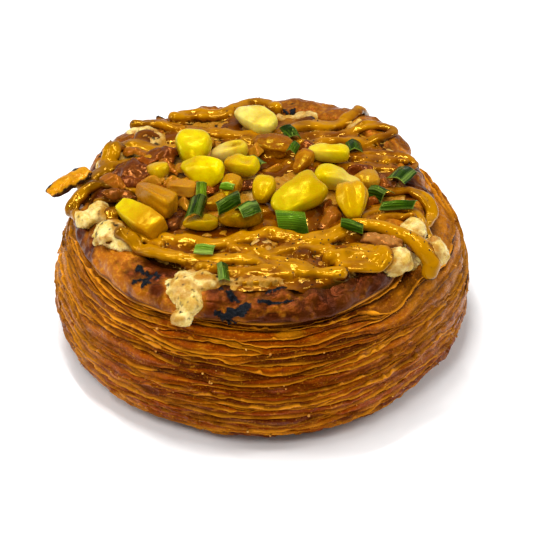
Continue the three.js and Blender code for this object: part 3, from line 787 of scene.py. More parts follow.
# Burnt places on the crust: half width, then the x, y, z points that each one runs through.
CHAR_MARKS = [
    (0.55, (-26.2, -28.2, 36.1), (-24.9, -29.4, 36.3), (-23.7, -32.0, 36.1), (-25.0, -33.2, 35.4)),
    (0.4, (-27.2, -31.7, 35.3), (-25.2, -31.8, 35.8), (-23.7, -32.0, 36.1), (-22.5, -30.7, 36.4)),
    (0.45, (-23.7, -32.0, 36.1), (-22.4, -32.2, 36.2), (-21.1, -31.6, 36.4)),
    (0.5, (-8.4, -37.0, 36.2), (-6.7, -37.9, 36.1), (-5.0, -39.1, 35.9)),
    (0.45, (-9.7, -40.3, 34.1), (-8.8, -40.6, 34.0)),
    (0.75, (-7.6, -41.2, 33.2), (-6.1, -41.1, 34.0), (-4.8, -41.1, 34.8), (-3.1, -40.4, 35.4)),
    (0.5, (1.5, -37.2, 36.3), (3.9, -36.7, 36.5), (6.2, -36.0, 36.6), (8.5, -35.2, 36.7)),
    (0.55, (10.2, -34.3, 36.8), (10.8, -34.0, 36.8)),
    (0.36, (-0.6, -39.6, 35.9), (1.9, -39.9, 35.8), (4.3, -39.6, 35.8), (6.8, -38.9, 35.9)),
    (0.45, (5.1, 33.0, 36.8), (6.4, 32.4, 36.6), (7.6, 32.2, 36.5)),
    (0.3, (7.4, 35.0, 36.9), (7.8, 35.2, 36.9)),
    (0.5, (-24.0, 31.5, 36.3), (-21.5, 33.6, 36.3), (-19.0, 34.6, 36.3)),
    (0.5, (-36.5, 14.0, 36.4), (-35.8, 17.0, 36.4)),
]


def char_mask(points):
    """How burnt each point is, from 0 to 1."""
    ragged = 0.45 * noise(points, 1.3, 90, 2) + 0.4 * noise(points, 0.7, 91)
    black = np.zeros(points.shape[:-1])
    for width, *chain in CHAR_MARKS:
        near = np.full(black.shape, 9.0)
        for at in spaced(chain, 0.4):
            near = np.minimum(near, ((points - at) ** 2 * [1, 1, 0.3]).sum(-1))
        black = np.maximum(black, smooth(1.3 * width * (1 + ragged) - np.sqrt(near), -0.08, 0.12))
    return black


def build_crust():
    profile = crust_profile()
    around = np.linspace(0, 2 * math.pi, CRUST_COLUMNS, endpoint=False)
    angle = np.broadcast_to(around, (len(profile), CRUST_COLUMNS))
    inset, rise, lit, dark = profile.T[:, :, None]
    lip = lip_height(angle)
    swell = np.interp(rise, [1.3, 2.9, 4.9], [0, 0.35, 0.35]) * np.sin(4 * angle + 4)
    flat = smooth(inset, DISH_INSET - 2.4, DISH_INSET)
    height = mixed(lip + rise + swell, np.full_like(lip, DISH_FLOOR), flat)
    edge_wave = 0.35 * noise(on_ring(angle, 3.0), 7, 30, 2) * smooth(-inset, -2.5, 0.3)
    radius = crust_radius(angle) - inset + edge_wave
    grid = np.stack([radius * np.cos(angle), radius * np.sin(angle), height], -1)
    n = normals(grid)
    body = smooth(rise, 0.3, 1.2) * (1 - flat)
    lumps = 0.55 * noise(grid, 7, 31, 2) + 0.5 * noise(grid, 3.2, 32, 2)
    blister = smooth(noise(grid, 1.3, 35), 0.25, 0.8) * smooth(noise(grid, 9, 36), -0.1, 0.5)
    creases = -0.3 * smooth(1 - np.abs(noise(grid * [1, 1, 1.6], 6, 33)), 0.86, 1.0)
    grid = grid + n * (body * (lumps + creases + 0.16 * blister))[..., None]
    char = char_mask(grid)
    grid = grid + n * (char * (0.34 + 0.4 * noise(grid, 0.9, 37)))[..., None]
    lit = lit * np.clip(0.75 + 0.5 * noise(grid, 6, 34), 0.2, 1)
    golden = np.clip(sum(much * bump(angle, at, width) for much, at, width in GOLDEN), 0, 1)
    pale = np.clip(smooth(noise(grid, 4, 38, 2), -0.6, 0.7) * golden * 0.8 + 0.25 * blister, 0, 1)
    pale = np.maximum(pale, 0.42 * smooth(np.sin(angle), 0.2, 0.7)) * body
    deep = 0.75 * bump(angle, -62, 26) + 0.25 * bump(angle, 100, 25) + 0.35 * noise(grid, 5, 39, 2)
    deep = np.clip(deep, 0, 0.85) * (1 - pale)
    points, faces = turned(grid)
    # lip is the golden lip edge with its painted highlight, varied round it
    painted = {"lip": lit, "painted_recess_shade": dark, "deep": deep, "char": char, "pale": pale}
    for key, value in painted.items():
        painted[key] = np.concatenate([np.broadcast_to(value, angle.shape).ravel(), [0, 0]])
    cap = piece("crust_cap", points, faces, CRUST, painted, nodes=["laminated_dough"])
    cap.data.materials.append(BURNT)
    black = painted["char"] > 0.45
    burnt = [int(sum(black[v] for v in face) * 2 > len(face)) for face in faces]
    cap.data.polygons.foreach_set("material_index", burnt)


build_crust()

# ---------- distances in a box of space, for the cheese and the sauce ----------


def slices(a, b):
    return tuple(slice(p, q) for p, q in zip(a, b))


def away(cells, centre, flat=1.0):
    """Distance from a centre, measured so that a sphere comes out this flat."""
    x, y, z = (a - c for a, c in zip(cells, centre))
    return np.sqrt(x**2 + y**2 + (z / flat) ** 2)


def blended(a, b, width):
    """The smaller of two distances, with a fillet of this width between them."""
    h = np.clip(0.5 + 0.5 * (b - a) / width, 0, 1)
    return mixed(b, a, h) - width * h * (1 - h)


class Block:
    """A box of space in small steps, and the ground in it that the cheese and sauce lie on."""

    def __init__(self, low, high, step):
        spans = [np.arange(a, b + step, step) for a, b in zip(low, high)]
        self.low, self.step, self.shape = np.array(low), step, tuple(map(len, spans))
        self.axes = np.meshgrid(*spans, indexing="ij", sparse=True)
        self.plan = np.broadcast_arrays(*(axis[:, :, 0] for axis in self.axes[:2]))
        self.floor = np.stack([*self.plan, 0 * self.plan[0]], -1)
        self.ground = carrier_top(*self.plan)

    def reach(self, start, end, first=0, last=None):
        """The first and last cells between two corners in mm."""
        a, b = (((at - self.low) / self.step).astype(int) for at in (start, end))
        return np.maximum(a, first), np.minimum(b + 2, self.shape if last is None else last)

    def cells(self, a, b):
        x, y, z = self.axes
        cut = slices(a, b)
        return x[cut[0]], y[:, cut[1]], z[:, :, cut[2]]

    def layer(self, up, down):
        """Distance to a layer that reaches this far over the ground and this far into it."""
        z = self.axes[2]
        return np.maximum(z - (self.ground + up)[:, :, None], (self.ground - down)[:, :, None] - z)


# ---------- cheese ----------

CHEESE_STEP = 0.41
# Cheese melted flat over the crust's rim: x, y, half length, half width
CHEESE_SMEARS = [
    (-14.5, -33.2, 6.5, 4.0), (-7.5, -34.0, 5.5, 2.6), (0.5, -34.6, 6.0, 1.6), (25.5, -27.0, 4.0, 2.6),
    (7.0, 29.4, 6.0, 1.8), (-29.5, 23.5, 4.2, 3.0), (-35.5, 9.6, 2.4, 3.4), (31.5, -19.0, 3.4, 3.4),
]
BEAD_GAP = 0.25  # between the beads that a ridge of sauce is made of
# The map that near_sauce keeps of the way to the nearest ridge, in mm
MAP_CELL = 0.3
MAP_FARTHEST = 4.0
MAP_SIDE = 5  # how far to each side of a bead it looks
MAP_WINDOW = 34  # and both sides together, in cells
MAP_SPANS = ((-46, 320), (-40, 280))  # first place and number of cells, along x and y


def spread(x, y):
    """Where sauce has run together into a sheet: the front, the back left, and right of the middle."""
    angle, reach = np.arctan2(y, x), np.hypot(x, y)
    rim = smooth(crust_radius(angle) - reach, 2.6, 4.6)
    start = 12 - 8 * smooth(x, -8, 2)
    front = smooth(-y, start, start + 5) * smooth(x, -26, -19) * smooth(32 - x, 0, 6)
    right = smooth(x, -14, -6) * smooth(y, -1, 6) * smooth(34 - reach, 0, 4)
    back = 0.8 * smooth(y, 13, 18) * smooth(-x, -2, 4) * smooth(32 + x, 0, 4)
    return rim * np.maximum(np.maximum(front, right), back)


def strands():
    """Each stripe as ridges lying side by side: for each, the centres and radii of its beads."""
    for i, (radius, *route) in enumerate(SAUCE_STRIPES + [SAUCE_DRIP]):
        lying = len(route[0]) == 2  # the drip has heights of its own, and is one ridge
        line = spaced(route, BEAD_GAP)
        if lying:
            x, y = line.T
            top = np.maximum(carrier_top(x - 0.8, y), np.maximum(carrier_top(x + 0.8, y), carrier_top(x, y)))
            soft = np.hanning(15) / np.hanning(15).sum()
            top = np.convolve(np.pad(top, 7, mode="edge"), soft, mode="valid")
            line = np.column_stack([line, top + 0.45 * radius])
        way = np.gradient(line, axis=0)
        across = np.stack([-way[:, 1], way[:, 0], 0 * way[:, 0]], 1)
        across = across / np.maximum(np.linalg.norm(across, axis=1, keepdims=True), 1e-6)
        run = np.arange(len(line)) * BEAD_GAP
        swing = noise(np.column_stack([run, np.full(len(line), 5.0 * i), 0 * run]), 7, 49, 2)
        line = line + across * (0.4 * swing * lying)[:, None]
        ends = smooth(np.minimum(run, run[-1] - run), -0.5, 2.5)
        for k in (-1, 0, 1) if lying else (0,):
            along = np.column_stack([run, np.full(len(line), 9.0 * i + 3.1 * k), 0 * run])
            side = radius * (0.64 * k + 0.34 * noise(along, 5, 50, 2)) * ends
            wide = mixed(0.95, 0.58 if lying else 1.0, ends)
            size = radius * (wide + 0.2 * noise(along, 3.2, 51, 2))
            lift = radius * (0.2 * noise(along, 6, 52) + (0.08 if k == 0 else 0.0))
            size = size * (1 + 0.22 * smooth(line[:, 1], 8, 18))
            if not lying:
                size = size + 0.45 * smooth(run, 12, 24)
            yield i, line + across * side[:, None] + [0, 0, 1] * lift[:, None], size


STRANDS = list(strands())


def near_sauce(x, y):
    """How far each place is from the nearest ridge of sauce, seen from above."""
    nearest = np.full([cells for _, cells in MAP_SPANS], MAP_FARTHEST**2)
    places = [np.arange(cells) * MAP_CELL + first for first, cells in MAP_SPANS]
    gx, gy = np.meshgrid(*places, indexing="ij")
    for _, line, _ in STRANDS:
        for centre in line[::2]:
            corner = [int((c - first - MAP_SIDE) / MAP_CELL) for c, (first, _) in zip(centre, MAP_SPANS)]
            win = tuple(slice(max(k, 0), k + MAP_WINDOW) for k in corner)
            d = (gx[win] - centre[0]) ** 2 + (gy[win] - centre[1]) ** 2
            nearest[win] = np.minimum(nearest[win], d)
    cell = []
    for v, (first, cells) in zip((x, y), MAP_SPANS):
        cell.append(((v - first) / MAP_CELL).astype(int).clip(0, cells - 1))
    return np.sqrt(nearest[tuple(cell)])


def build_cheese():
    """The bed and the lumps that bulge out of it, melted into each other."""
    block = Block((-43.0, -45.5, 30.2), (43.0, 34.0, 41.0), CHEESE_STEP)
    x, y, z = block.axes
    reach = np.hypot(x, y) - filling_radius(np.arctan2(y, x)) + 0.3
    bed = np.maximum(z - filling_top(x, y), (DISH_FLOOR + 0.3) - z)
    field = np.maximum(bed, reach * 0.7 + (z - 36.4) * 0.4)
    for i, (*centre, size, flat) in enumerate(CHEESE_LUMPS):
        centre, room = np.array(centre), size * 1.3 + 1.2
        a, b = block.reach(centre - room, centre + room)
        cells, cut = block.cells(a, b), slices(a, b)
        at = np.stack(np.broadcast_arrays(*cells), -1)
        bulge = (0.9 * noise(at, 3.2, 40 + i, 2) + 0.3 * noise(at, 1.4, 60 + i)) * min(1, size / 3)
        lump = away(cells, centre, flat) - size + bulge
        field[cut] = blended(field[cut], lump * min(flat, 1), 1.0)
    gx, gy = block.plan
    ragged = 0.3 * noise(block.floor, 3, 76, 2)
    smear = np.full(gx.shape, -1.0)
    for cx, cy, rx, ry in CHEESE_SMEARS:
        smear = np.maximum(smear, 1 + ragged - np.hypot((gx - cx) / rx, (gy - cy) / ry))
    smear = mixed(-0.8, 0.8, smooth(smear, -0.1, 0.35))
    field = blended(field, block.layer(smear, 0.8), 0.9)
    points, faces = surface(field.astype(np.float32), block.low, block.step)
    n = point_normals(points, faces)
    points = points + n * (0.2 * noise(points, 1.5, 71, 2) + 0.06 * noise(points, 0.6, 72))[:, None]
    x, y, z = points.T
    high = smooth(n[:, 2], -0.2, 0.9)
    toast_and_crevice_shade = smooth(noise(points, 3.4, 73, 3), 0.1, 0.8) * (0.25 + 0.75 * high) * 0.75
    # painted shade in the crevices, where the surface was pushed in, added to the toasting
    crevice_shade = smooth(-noise(points, 1.5, 71, 2), 0.1, 0.6) * smooth(noise(points, 6, 78), -0.4, 0.3)
    toast_and_crevice_shade = np.clip(toast_and_crevice_shade + 0.6 * crevice_shade, 0, 0.9)
    specks = smooth(noise(points, 0.9, 74, 2) + 0.25 * noise(points, 5, 69), 0.66, 0.82)
    char = specks * high * smooth(8 - x, 0, 6)
    raised = smooth(z - filling_top(x, y), 0.3, 1.3)
    inner = smooth(35 - np.hypot(x, y), 0, 5)
    draped = 0.9 * smooth(noise(points, 2.2, 77, 2) * 1.3 - near_sauce(x, y), -2.2, -0.8) * high
    baked = smooth(noise(points, 2.6, 70, 2), 0.0, 0.4) * 0.7
    baked = baked + 0.6 * smooth(x, -10.5, -8) * smooth(12 - x, 0, 3)
    front = baked * smooth(-y, 26, 30) * (1 - inner)
    sheet = 0.75 * spread(x, y) * (0.25 + 0.75 * inner)
    amber = draped + front + 0.8 * inner + sheet + 0.6 * noise(points, 3, 75, 2) * inner
    amber = np.clip(amber, 0, 0.95) * (1 - 0.55 * raised * inner)
    painted = {"toast_and_crevice_shade": toast_and_crevice_shade, "char": char, "amber": amber}
    piece("soft_cheese", points, faces.tolist(), CHEESE, painted, nodes=["cheese_and_sauce"])


build_cheese()

# ---------- baked sauce ----------

SAUCE_STEP = 0.37
PEPPER_GRAINS = 700
FAR_OFF = 5.0  # mm, for cells that no ridge comes near


def build_sauce():
    block = Block((-45.5, -37.0, 30.0), (41.5, 39.5, 43.5), SAUCE_STEP)
    field = np.full(block.shape, FAR_OFF, np.float32)
    near = np.full(block.shape[:2], 9.0)
    before = -1
    for number, line, size in STRANDS:
        grow = size.max() + 1.5
        a, b = block.reach(line.min(0) - grow, line.max(0) + grow)
        own = np.full(tuple(b - a), FAR_OFF, np.float32)
        for centre, r in zip(line, size):
            i, j = block.reach(centre - r - 1.2, centre + r + 1.2, a, b)
            cut = slices(i - a, j - a)
            own[cut] = np.minimum(own[cut], away(block.cells(i, j), centre) - r)
        # ridges of one stripe meet in a crease, and stripes that cross run into each other
        whole = slices(a, b)
        field[whole] = blended(field[whole], own, 0.16 if number == before else 0.55)
        near[whole[:2]] = np.minimum(near[whole[:2]], own.min(2))
        before = number
    x, y = block.plan
    cover = spread(x, y)
    film = mixed(-1.0, 0.4, cover) + 0.45 * smooth(1.0 - near, 0, 1.2) * (1 - cover)
    film = np.clip(film + 0.42 * noise(block.floor, 3.5, 53, 2), -1.2, 0.8)
    film = np.where(np.hypot(x, y) > crust_radius(np.arctan2(y, x)) - 0.8, -1.2, film)
    field = blended(field, block.layer(film, 0.9).astype(np.float32), 0.8)
    points, faces = surface(field, block.low, block.step)
    n = point_normals(points, faces)
    points = points + n * (0.1 * noise(points, 1.7, 54, 2))[:, None]
    x, y, z = points.T
    cell = ((points - block.low) / block.step).astype(int).clip(0, np.array(block.shape) - 1)
    cell = tuple(cell.T[:2])
    over = z - block.ground[cell]
    thin, crest = 1 - smooth(over, 0.1, 0.9), smooth(over, 0.9, 1.9) * 0.8
    left = smooth(-x, 22, 32) * 0.5 * (0.8 + 0.6 * noise(points, 4, 56, 2))
    brown = smooth(noise(points, 4, 55, 2), 0.15, 0.8) * 0.75 * (0.45 + 0.55 * thin)
    # painted shade: darker where the sauce lies below the blurred height of the sauce round it
    inside = field < 0
    highest = inside.shape[2] - 1 - np.argmax(inside[:, :, ::-1], axis=2)
    top = np.maximum(block.ground, block.low[2] + block.step * highest * inside.any(2))
    shifts = [(a, b) for a in range(-3, 4) for b in range(-3, 4) if a * a + b * b < 8]
    blurred = sum(np.roll(top, shift, (0, 1)) for shift in shifts) / len(shifts)
    painted_valley_shade = smooth(blurred[cell] - z, -0.06, 0.24) * 0.95
    painted = {"thin": thin, "brown": np.clip(brown + left, 0, 0.85), "crest": crest, "painted_valley_shade": painted_valley_shade}
    piece("baked_sauce", points, faces.tolist(), SAUCE, painted, nodes=["cheese_and_sauce"])
    chance = (n[:, 2] > 0.3) * np.where(y < -12, 3.0, 1.0)
    picks = points[CHANCE.choice(len(points), PEPPER_GRAINS, p=chance / chance.sum())]
    scattered("ground_pepper", picks + [0, 0, 0.02], 0.07, 0.24, PEPPER)


build_sauce()

# ---------- sweetcorn ----------

# x, y, z, length, width, thickness, yaw, pitch, roll, then the crown's colour, the tip's,
# and what makes it itself: how dented, notched, waisted, lobed, ribbed, crinkled, square and
# blunt it is, how many faces are pressed flat, and how deep these are cut
CORN = [
    (-1.5, 24.6, 40.2, 11.2, 8.0, 5.2, -35, 0, 12, "#D2C24C", "#DACE70", dict(dent=0.1, faces=0)),
    (-15.6, 8.4, 42.2, 9.4, 9.6, 7.0, 80, 28, 0, "#C9B606", "#9C8A00", dict(square=0.5, faces=4, cut=0.76)),
    (-13.4, 0.2, 42.4, 10.2, 9.4, 6.2, -25, 8, 22, "#DAC400", "#B99D00",
     dict(crinkle=0.14, faces=6, cut=0.74)),
    (-7.2, 9.8, 41.0, 8.2, 5.4, 4.6, 18, 6, -8, "#C9AF20", "#D0BA60", dict(dent=0.42, faces=0)),
    (-4.2, 3.4, 41.8, 8.4, 6.2, 5.2, -22, 10, 6, "#C9B300", "#BA910D", dict(dent=0.14, notch=0.2, faces=1)),
    (0.3, -6.6, 41.6, 7.4, 6.4, 6.0, 78, 12, 0, "#C1A000", "#AB8200", dict(faces=0)),
    (8.2, -8.8, 42.0, 13.0, 11.0, 6.6, 34, 14, 16, "#B29200", "#B9A506",
     dict(notch=0.14, lobes=0.1, faces=0)),
    (15.4, 9.6, 40.8, 9.2, 5.6, 5.0, -4, 0, 0, "#CDB606", "#D0BA30", dict(notch=0.3, faces=1)),
    (17.4, -1.2, 41.0, 10.4, 6.6, 5.4, 165, 4, 0, "#C5AB00", "#CDB65A", dict(waist=0.4, faces=0)),
    (20.0, -10.2, 41.4, 9.6, 8.0, 5.6, 98, 24, -6, "#BA8A06", "#BE9900", dict(ribs=0.2, faces=1)),
    (-26.6, -15.0, 40.2, 12.6, 6.4, 5.6, -42, -6, 20, "#B07806", "#C9B800",
     dict(square=0.85, blunt=0.85, faces=3)),
    (-23.4, -9.2, 41.4, 11.6, 7.0, 5.8, -40, -4, -16, "#AB7306", "#9C6106",
     dict(ribs=0.12, dent=0.1, blunt=0.8, square=0.8, faces=6, cut=0.72)),
    (-18.0, -4.8, 41.2, 7.6, 5.2, 3.6, -8, 0, -10, "#AB731A", "#9C6110",
     dict(crinkle=0.1, faces=5, square=0.9, blunt=0.7, cut=0.74)),
    (-23.4, 2.0, 41.0, 6.2, 5.6, 4.6, -55, 18, 0, "#BE9906", "#BA8D26", dict(faces=5, square=0.6)),
    (-13.2, -16.2, 39.8, 8.4, 5.8, 4.2, 4, 0, -12, "#9C7E00", "#9C7700", dict(dent=0.2)),
    (-4.6, -14.6, 40.4, 10.2, 8.4, 5.6, 14, 0, -18, "#734E00", "#7B5200", dict(faces=0)),
    (9.4, 6.8, 40.4, 6.8, 5.2, 5.0, 62, 10, 0, "#915606", "#824703", dict(waist=0.2)),
    (2.6, 14.0, 39.8, 9.0, 6.8, 5.2, -30, 0, 14, "#824703", "#733C03", dict(crinkle=0.35, ribs=0.15)),
    (-6.8, -3.6, 40.4, 7.0, 5.6, 5.0, 70, 10, 0, "#AB770D", "#9C6806", dict(crinkle=0.12)),
    (-10.6, -9.0, 40.0, 5.8, 4.6, 4.0, 20, 0, 10, "#956406", "#8D5906", dict(crinkle=0.15)),
    (23.6, 0.8, 39.4, 6.6, 5.6, 4.0, 15, 0, 10, "#AB7B1A", "#9C6C13", dict(crinkle=0.2)),
]


def moved(points, at, yaw, pitch, roll):
    """Rolls, tips and turns a shape, then sets it in place, as the CAD source does."""
    turn = np.eye(3)
    for axis, angle in ((2, rad(yaw)), (1, -rad(pitch)), (0, rad(roll))):
        a, b = (axis + 1) % 3, (axis + 2) % 3
        about = np.eye(3)
        about[a, a] = about[b, b] = math.cos(angle)
        about[b, a] = math.sin(angle)
        about[a, b] = -math.sin(angle)
        turn = turn @ about
    return points @ turn.T + np.array(at)


KERNEL_ROWS, KERNEL_COLUMNS = 38, 52


def kernel(number, row):
    *at, length, width, thickness, yaw, pitch, roll, crown, tip, own = row
    trait = lambda name: own.get(name, 0.0)
    latitude = np.linspace(0, math.pi, KERNEL_ROWS + 2)[1:-1, None]
    turn = np.linspace(0, 2 * math.pi, KERNEL_COLUMNS, endpoint=False)[None]
    b = np.cos(latitude) + 0 * turn
    a, c = np.sin(latitude) * np.cos(turn), np.sin(latitude) * np.sin(turn)
    section = np.hypot(a, c)
    square = np.maximum(np.abs(a), np.abs(c)) / section
    taper = 0.83 + 0.2 * b - 0.06 * b * b
    side = section ** -own.get("blunt", 0.34) * taper / square ** own.get("square", 0.42)
    side = side * (1 - trait("waist") * smooth(-b, -0.1, 0.5) * smooth(b, -1.0, -0.2))
    side = side * (1 - trait("notch") * np.exp(-(((b - 0.1) / 0.3) ** 2)) * smooth(a / section, 0.1, 0.9))
    side = side * (1 + trait("ribs") * 0.5 * np.sin(6 * turn) * smooth(b, -1, 0.2))
    end = b * length / 2 * (1 - trait("lobes") * np.exp(-((a / 0.3) ** 2)) * smooth(b, 0.2, 1))
    dent = np.exp(-(((b - 0.25) / 0.42) ** 2) - (a / 0.42) ** 2) * smooth(c, 0, 0.5)
    lifted = c * side * thickness / 2 - trait("dent") * thickness * dent
    grid = np.stack([end, a * side * width / 2, lifted], -1)[::-1]
    place = grid + [31.0 * number, 0, 0]
    n = normals(grid)
    n = n * np.sign((n * grid).sum(-1, keepdims=True))
    rough = 0.3 * noise(place, 4.2, 60) + 0.07 * noise(place, 1.7, 61, 2)
    rough = rough + trait("crinkle") * noise(place, 1.6, 62, 2)
    grid = grid + n * rough[..., None]
    # pressed flat against its neighbours on the cob
    pressed = np.random.default_rng(40 + number)
    for _ in range(own.get("faces", 2)):
        way = pressed.normal(size=3) * [0.5, 1, 0.8]
        way = way / np.linalg.norm(way)
        out = (grid * way).sum(-1)
        over = out - out.max() * (own.get("cut", 0.8) + pressed.uniform(0, 0.1))
        over = 0.3 * np.log1p(np.exp(np.clip(over / 0.3, -30, 30)))
        grid = grid - way * (0.85 * over)[..., None]
    points, faces = turned(grid)
    b = np.concatenate([b[::-1].ravel(), [-1, 1]])
    skin = mixed(np.array(paint(tip)), np.array(paint(crown)), smooth(b, -0.9, 0.6)[:, None])
    # painted shade: the skin darkens toward #9A6000 in the dent
    sunk = np.concatenate([dent[::-1].ravel(), [0, 0]]) * min(1, 3 * trait("dent"))
    skin = mixed(skin, np.array(paint("#9A6000")), 0.7 * sunk[:, None])
    name = f"{number + 1:02d}"
    placed = moved(points, at, yaw, pitch, roll)
    node = ["corn_kernel_" + name]
    piece("sweetcorn_" + name, placed, faces, CORN_SKIN, {"skin": skin}, nodes=node)


for i, row in enumerate(CORN):
    kernel(i, row)

# ---------- onion, the charred slice and chives ----------

# x, y, z, length, width, curl, ripple, yaw, pitch, roll, colour
ONION = [
    (-29.4, 3.2, 40.4, 9.8, 8.2, 1.4, 0.7, -52, 6, 16, "#512206"),
    (-23.6, 11.4, 39.6, 7.4, 5.4, 1.2, 0.5, 24, 8, -20, "#5B2B08"),
    (-23.8, -4.2, 40.0, 6.4, 4.6, 0.8, 0.5, 28, 0, 0, "#773D08"),
    (-18.4, -13.2, 38.8, 8.6, 3.4, 0.7, 0.5, 72, 0, 20, "#341408"),
    (-31.8, -4.4, 39.4, 8.2, 3.0, 0.6, 0.6, -14, 0, 0, "#603407"),
    (15.6, -13.6, 39.4, 7.4, 4.2, 0.9, 0.4, 66, 10, 26, "#8A500C"),
    (-3.0, -1.8, 40.0, 4.4, 3.6, 0.5, 0.3, 10, 0, 0, "#431E0A"),
    (12.4, 3.4, 39.6, 4.8, 3.4, 0.5, 0.4, 80, 0, 0, "#4D1F07"),
    (26.2, -21.0, 38.8, 8.6, 3.6, 0.5, 0.4, -12, 0, 10, "#A06C30"),
    (28.0, 1.2, 38.4, 4.6, 4.2, 0.5, 0.4, 60, 0, 0, "#733B0E"),
]
# length, width, curl, slant, yaw, pitch, roll, colour
CHIVES = [
    (4.6, 2.4, 0.3, 0.1, 88, 34, 0, "#617B06"),
    (5.4, 3.6, 0.9, -0.4, 76, 20, 14, "#142702"),
    (3.2, 1.9, 0.2, 0.1, -16, 4, 0, "#55790D"),
    (6.2, 3.8, 0.7, 0.5, 38, 6, 10, "#1D3402"),
    (5.4, 4.6, 0.5, 0.3, 42, -8, -10, "#203803"),
    (6.6, 5.2, 1.6, -0.3, -8, 0, 34, "#527A12"),
    (4.2, 3.2, 0.9, 0.4, 118, 8, 16, "#122602"),
    (3.0, 2.4, 0.6, 0, 66, 10, 0, "#2C4A03"),
    (4.4, 3.8, 0.4, 0, 96, -4, 4, "#1A3204"),
    (6.0, 5.4, 0.5, 0.2, 58, -4, -6, "#143005"),
    (4.6, 4.0, 1.0, 0.3, -40, 8, 12, "#142A02"),
    (7.6, 2.4, 0.4, 0.6, 4, 0, 10, "#284905"),
    (5.2, 2.8, 0.8, -0.3, -22, -4, 10, "#224103"),
    (4.2, 2.7, 0.3, 0.2, -6, 0, 8, "#537704"),
    (5.2, 2.4, 0.2, 0.1, 96, 6, 0, "#203C04"),
    (5.6, 1.8, 0.3, 0.3, -60, 10, 30, "#1E3803"),
]


def strip(
    length, width, thick, curl, ripple, torn=1.0, slant=0.0, seed=0, crumple=0.0, size=0.22, crease=0.0
):
    """A closed, curled sheet like the CAD one, with finer ripples: its points, its faces, and where
    on the sheet each point lies."""
    columns, rows = max(10, int(length / size)), max(8, int(width / size))
    a, b = np.meshgrid(np.linspace(-0.5, 0.5, columns), np.linspace(-0.5, 0.5, rows), indexing="ij")
    x = a * length + slant * b * width
    y = b * width * (1 - 0.45 * torn * (2 * a) ** 4)
    rise = ripple * np.sin(7 * a + 2) * np.cos(4 * b) - curl * 4 * b * b
    rise = rise - (0.1 + 0.4 * torn) * curl * 4 * a * a
    at = np.stack([x, y, np.full_like(x, 13.0 * seed)], -1)
    folds = 1.2 * (0.5 - np.abs(noise(at * [0.5, 1, 1], 2.6, 79, 2)))
    rise = rise + crease * (1 - 2.4 * np.abs(b - 0.14 * math.sin(2.1 * seed)) - 0.25 * np.abs(b + 0.3))
    rise = rise + crumple * (folds + 0.7 * noise(at, 2.4, 80, 2) + 0.4 * noise(at, 1.1, 81))
    ragged = torn * 0.5 * noise(at, 1.8, 82, 2) * (2 * np.maximum(np.abs(a), np.abs(b))) ** 6
    x, y = x + ragged * np.sign(a), y + ragged * np.sign(b)
    border = np.maximum(np.abs(2 * a), np.abs(2 * b))
    half = thick * (1 - 0.5 * (2 * b) ** 2) / 2 * np.sqrt(np.clip(1.04 - border**14, 0.04, 1))
    points = np.concatenate([np.stack([x, y, z], -1).reshape(-1, 3) for z in (rise + half, rise - half)])
    index = np.arange(columns * rows).reshape(columns, rows)
    quads = np.stack([index[:-1, :-1], index[1:, :-1], index[1:, 1:], index[:-1, 1:]], -1).reshape(-1, 4)
    loop = np.concatenate([index[:, 0], index[-1, 1:], index[-2::-1, -1], index[0, -2:0:-1]])
    after, under = np.roll(loop, -1), columns * rows
    wall = np.stack([loop, loop + under, after + under, after], 1)
    faces = np.concatenate([quads, quads[:, ::-1] + under, wall])
    place = {"a": np.tile(a.ravel(), 2), "b": np.tile(b.ravel(), 2), "border": np.tile(border.ravel(), 2)}
    return points, faces.tolist(), place


def centred(points, node):
    """Moves a shape so that its box has the same middle as a CAD node's."""
    low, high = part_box(node)
    middle = np.array(low + high) / 2 / MM
    return points + middle - (points.min(0) + points.max(0)) / 2


def onion(name, points, faces, skin, rim=0.0, char=0.0, nodes=()):
    """A piece of onion in one colour or one for each point, with its dry rim and its char."""
    plain = np.zeros(len(points))
    painted = {"skin": plain[:, None] + skin, "rim": plain + rim, "char": plain + char}
    piece(name, points, faces, ONION_SKIN, painted, nodes=nodes)


for i, (x, y, z, length, width, curl, ripple, *turn, colour) in enumerate(ONION):
    points, faces, place = strip(length, width, 1.2, curl, ripple, seed=i, crumple=0.55)
    rim = smooth(place["border"] + 0.2 * noise(points, 1.5, 83), 0.8, 1.05) * 0.7
    name = f"{i + 1:02d}"
    placed = moved(points, (x, y, z), *turn)
    onion("onion_piece_" + name, placed, faces, paint(colour), rim, nodes=["browned_onion_" + name])

